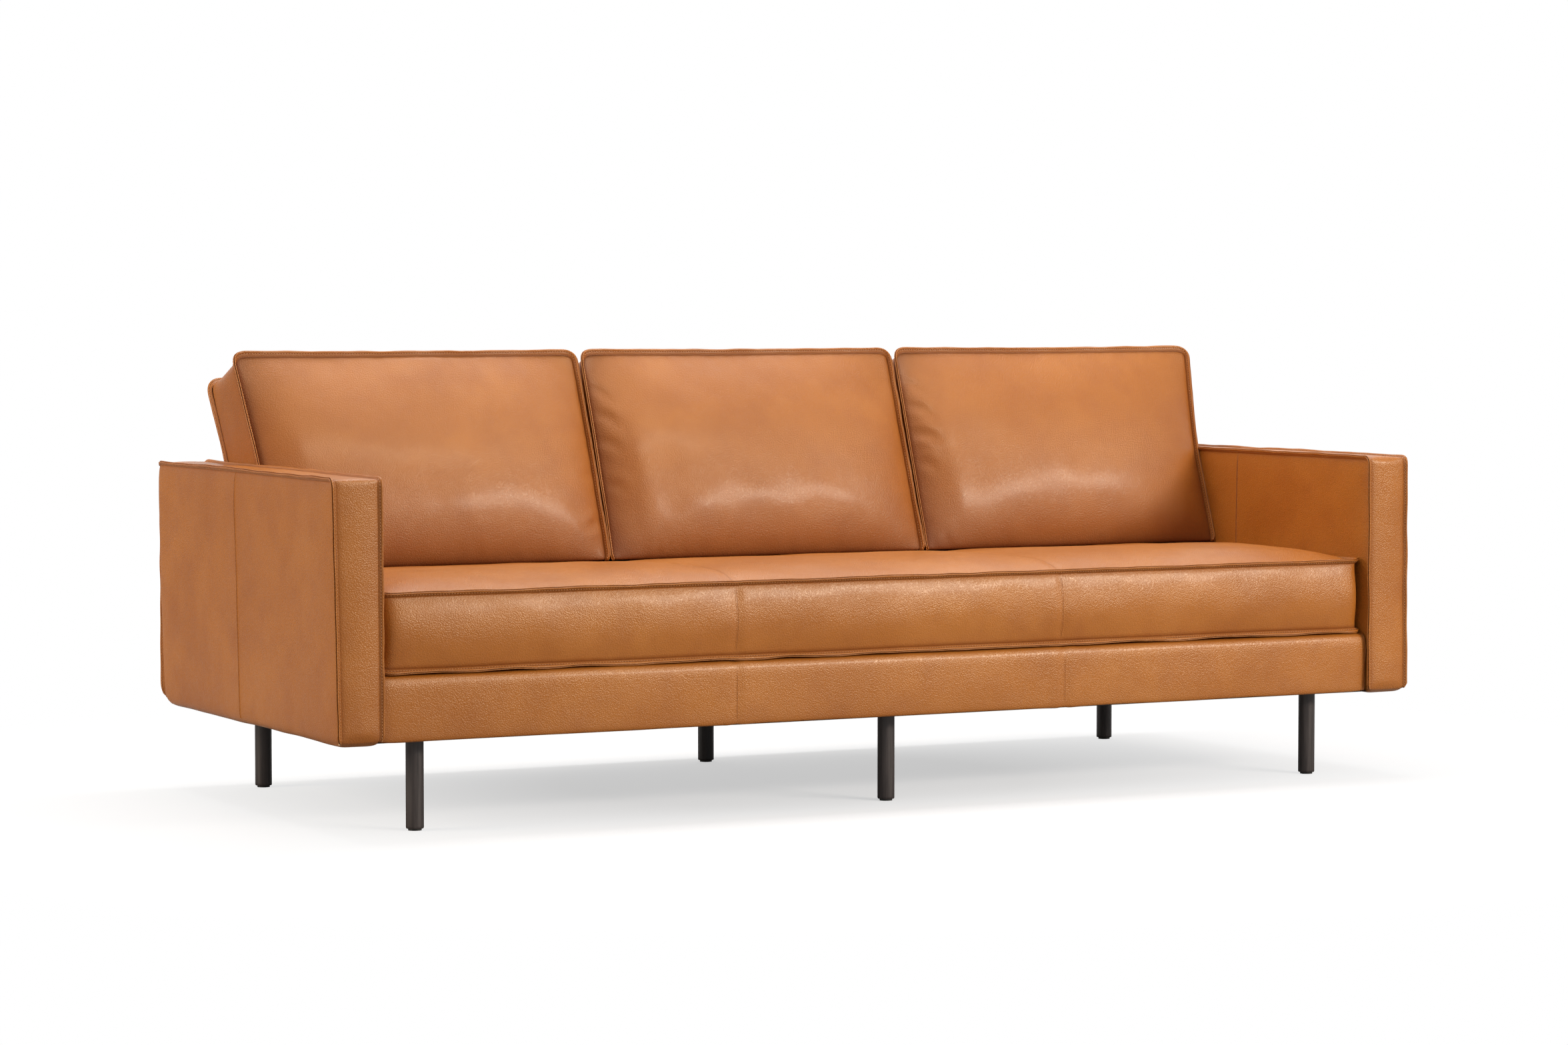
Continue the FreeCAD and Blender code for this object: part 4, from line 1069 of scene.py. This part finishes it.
# ---------------------------------------------------------------- back of the sofa
def inside_back():
    """Sloping leather behind the loose cushions, and the top of the back."""
    low, high = (np.array(v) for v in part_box("inside_back_cover"))
    steps_x = ticks(high[0] - low[0], 0.020)
    slope_length = (high[2] - low[2]) / math.cos(RECLINE)
    run_y = low[1] + (high[2] - low[2]) * math.tan(RECLINE)
    route = [(low[1] + t * slope_length * math.sin(RECLINE), low[2] + t * slope_length * math.cos(RECLINE))
             for t in np.linspace(0, 0.96, 24)]
    turn = 0.010
    route += [(run_y - turn * 0.15, high[2] - turn * 0.35), (run_y + turn * 0.6, high[2])]
    route += [(y, high[2]) for y in np.linspace(run_y + turn * 1.8, high[1] - 0.012, 10)]
    route += [(high[1] - 0.005, high[2] - 0.001), (high[1] - 0.001, high[2] - 0.006)]
    route += [(high[1] - 0.0005, z) for z in np.linspace(high[2] - 0.020, high[2] - 0.060, 3)]
    route = np.array(route)
    points = np.array([(low[0] + f * (high[0] - low[0]), y, z) for f in steps_x for y, z in route])
    points += 0.0010 * ripple(points, 0.25, 91)[:, None] * np.array([0, -0.5, 0.5])
    rows = len(route)
    faces = [(a * rows + b, (a + 1) * rows + b, (a + 1) * rows + b + 1, a * rows + b + 1)
             for a in range(len(steps_x) - 1) for b in range(rows - 1)]
    # painted shade, the same over the whole sheet behind the cushions
    cover = piece("inside_back", points, faces, "frame", "leather", shade=np.full(len(points), 0.15))
    thicken(cover, 0.0018)
    smoother(cover)
    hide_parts("inside_back_cover", "inside_back_padding")


def thicken(item, depth):
    """Give an open sheet a real thickness, inward."""
    modifier = item.modifiers.new("thickness", "SOLIDIFY")
    modifier.thickness = depth
    modifier.offset = -1


def outside_back():
    """Leather over the whole back, sewn from three panels, with a raised seam round its top."""
    low, high = (np.array(v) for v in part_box("outside_back_panel"))
    low[1] = high[1] - 0.016
    low += (0.004, 0, 0.002)
    high -= (0.004, 0, 0.001)
    extent = high - low
    fractions, cells, faces, index, at = box_lattice(extent, (0.013, 0.004), (0.006,), (0.013, 0.004))
    last = [len(f) - 1 for f in fractions]
    flat = low + at * extent
    shaped = edge_round(flat, low, high, 0.006)
    round_corners(shaped, (0, 2), [(corner_x, corner_z, bend, sx, sz)
                                   for sx, corner_x in ((-1, low[0]), (1, high[0]))
                                   for sz, corner_z, bend in ((-1, low[2], HEEL_RADIUS),
                                                              (1, high[2], BACK_SHOULDER_RADIUS))])
    joints = low[0] + extent[0] * np.array([1, 2]) / 3
    gap = np.min(np.abs(flat[:, 0, None] - joints), axis=1)
    edge = np.minimum(np.minimum(at[:, 0], 1 - at[:, 0]) * extent[0], (1 - at[:, 2]) * extent[2])
    rear = cells[:, 1] == last[1]
    fill = 0.0045 * (1 - np.exp(-edge / 0.035)) - 0.0028 * np.exp(-(gap / 0.0055) ** 2)
    fill += 0.0014 * ripple(flat, 0.35, 95) + 0.0006 * ripple(flat, 0.12, 96)
    shaped[:, 1] += np.where(rear, fill, 0)
    # painted shade: darker along the sides and top, beside the raised seam
    tone = 0.5 * np.exp(-edge / 0.006)
    cover = smoother(piece("outside_back", shaped, faces, "frame", "leather", shade=np.clip(tone, 0, 1)))
    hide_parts("outside_back_panel", "outside_back_liner")
    route = [(0, last[1], k) for k in range(last[2])]
    route += [(i, last[1], last[2]) for i in range(last[0])]
    route += [(last[0], last[1], k) for k in range(last[2], -1, -1)]
    ids = [index[cell] for cell in route]
    outward = np.array([((-0.7 if i == 0 else 0.7 if i == last[0] else 0), 0.7, 0.7 if k == last[2] else 0)
                        for i, _, k in route])
    flange("outside_back_seam", shaped[ids], outward, "frame", seed=97, height=0.8)
    for order, joint in enumerate(joints, start=1):
        column = nearest(low[0] + fractions[0] * extent[0], joint)
        ids = [index[(column, last[1], k)] for k in range(last[2] + 1)]
        plain_seam(f"outside_back_seam_{order}", shaped[ids], np.tile((0, 1, 0), (len(ids), 1)), "frame",
                   width=0.0015)


# ---------------------------------------------------------------- underside and deck
def sheet_between(name, low, high, level, sag, body, slot, step=0.02, seed=1, thickness=0.0012, bend=0.0):
    """Cloth stretched flat between edges, with a little sag and slack in it."""
    across = ticks(high[0] - low[0], step)
    deep = ticks(high[1] - low[1], step)
    points = np.array([(low[0] + a * (high[0] - low[0]), low[1] + b * (high[1] - low[1]), level)
                       for a in across for b in deep])
    a = (points[:, 0] - low[0]) / (high[0] - low[0])
    b = (points[:, 1] - low[1]) / (high[1] - low[1])
    dome = np.clip(np.sin(math.pi * a), 0, 1) ** 0.4 * np.clip(np.sin(math.pi * b), 0, 1) ** 0.5
    points[:, 2] -= sag * dome * (0.8 + 0.2 * ripple(points, 0.3, seed))
    points[:, 2] += 0.0004 * ripple(points, 0.06, seed + 1) * dome
    if bend:
        round_corners(points, (0, 1), [(low[0], high[1], bend, -1, 1), (high[0], high[1], bend, 1, 1)])
    rows = len(deep)
    faces = [(i * rows + j, (i + 1) * rows + j, (i + 1) * rows + j + 1, i * rows + j + 1)
             for i in range(len(across) - 1) for j in range(rows - 1)]
    item = piece(name, points, faces, body, slot)
    thicken(item, thickness)
    return item


def underside():
    """Black dust cloth stapled under the frame."""
    low, high = (np.array(v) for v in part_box("dust_cover"))
    cloth = sheet_between("dust_cloth", low + (0.012, 0.004, 0), high - (0.012, 0.010, 0), low[2] + 0.0014,
                          0.0042, "frame", "dust_cloth", seed=101, bend=HEEL_RADIUS)
    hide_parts("dust_cover")
    staples(low + (0.03, 0.016, 0), high - (0.03, 0.024, 0), low[2])


def staples(low, high, level):
    """Steel staples round the edge of the dust cloth."""
    pitch = 0.045
    half, wire = 0.005, 0.0006
    spots = []
    for x in np.arange(low[0], high[0], pitch):
        spots += [(x, low[1], 0), (x, high[1], 0)]
    for y in np.arange(low[1] + pitch, high[1], pitch):
        spots += [(low[0], y, 1), (high[0], y, 1)]
    points = []
    faces = []
    for x, y, turned in spots:
        start = len(points)
        ax, ay = (0, 1) if turned else (1, 0)
        for end in (-half, half):
            for s in range(6):
                angle = math.pi * s / 3
                across, down = wire * math.cos(angle), wire * math.sin(angle)
                points.append((x + ax * end + ay * across, y + ay * end + ax * across, level + 0.0001 + down))
        for s in range(6):
            t = (s + 1) % 6
            faces.append((start + s, start + t, start + 6 + t, start + 6 + s))
        faces.append(tuple(start + s for s in range(5, -1, -1)))
        faces.append(tuple(start + 6 + s for s in range(6)))
    return piece("dust_cloth_staples", points, faces, "frame", "steel")


def deck():
    """Dark cloth over the springs, which the seat cushion rests on."""
    low, high = (np.array(v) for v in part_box("seat_deck_pad"))
    cloth = sheet_between("seat_deck", low, high, high[2] - 0.0002, 0.006, "frame", "deck_cloth", seed=111)
    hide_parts("seat_deck_pad", "seat_deck_cloth")


# ---------------------------------------------------------------- legs
def turned(name, centre, profile, body, slot, sides=48):
    """Lathe-turned piece from (radius, height) pairs."""
    points = []
    for radius, height in profile:
        for s in range(sides):
            angle = 2 * math.pi * s / sides
            points.append((centre[0] + radius * math.cos(angle),
                           centre[1] + radius * math.sin(angle), height))
    faces = []
    for r in range(len(profile) - 1):
        for s in range(sides):
            t = (s + 1) % sides
            faces.append((r * sides + s, r * sides + t, (r + 1) * sides + t, (r + 1) * sides + s))
    faces.append(tuple(range(sides - 1, -1, -1)))
    faces.append(tuple(range((len(profile) - 1) * sides, len(profile) * sides)))
    return piece(name, points, faces, body, slot)


def legs():
    """Six straight turned legs with eased ends, standing on their glides."""
    for row in ("front", "rear"):
        for column in ("left", "centre", "right"):
            name = f"{row}_{column}_leg"
            low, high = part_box(name)
            centre = ((low.x + high.x) / 2, (low.y + high.y) / 2)
            radius = (high.x - low.x) / 2
            ease = 0.0022
            profile = [(radius - ease * 1.6, low.z), (radius - ease, low.z + 0.0001),
                       (radius - ease * 0.3, low.z + ease * 0.3), (radius, low.z + ease)]
            profile += [(radius, low.z + ease + (high.z - low.z - 2 * ease) * t) for t in (0.02, 0.5, 0.98)]
            profile += [(radius, high.z - ease), (radius - ease * 0.4, high.z - 0.0003),
                        (radius - ease, high.z)]
            leg = turned(f"{name}_turning", centre, profile, "frame", "leg_wood")
            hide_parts(name)


# ---------------------------------------------------------------- everything
def dress_frame():
    """Materials for the CAD nodes that stay as they are."""
    for entry in frame["record"]["subparts"]:
        node = frame["nodes"][entry["node"]]
        for slot_index in range(len(node.material_slots)):
            node.material_slots[slot_index].material = MATERIALS[entry["material_slot"]]


make_camera()
make_studio()
dress_frame()
legs()
underside()
deck()
for arm_side, arm_sign in (("left", -1), ("right", 1)):
    arm(arm_side, arm_sign)
front_band()
inside_back()
outside_back()
seat_cushion()
for cushion_order, cushion_place in enumerate(("left", "middle", "right")):
    back_cushion(cushion_place, cushion_order)
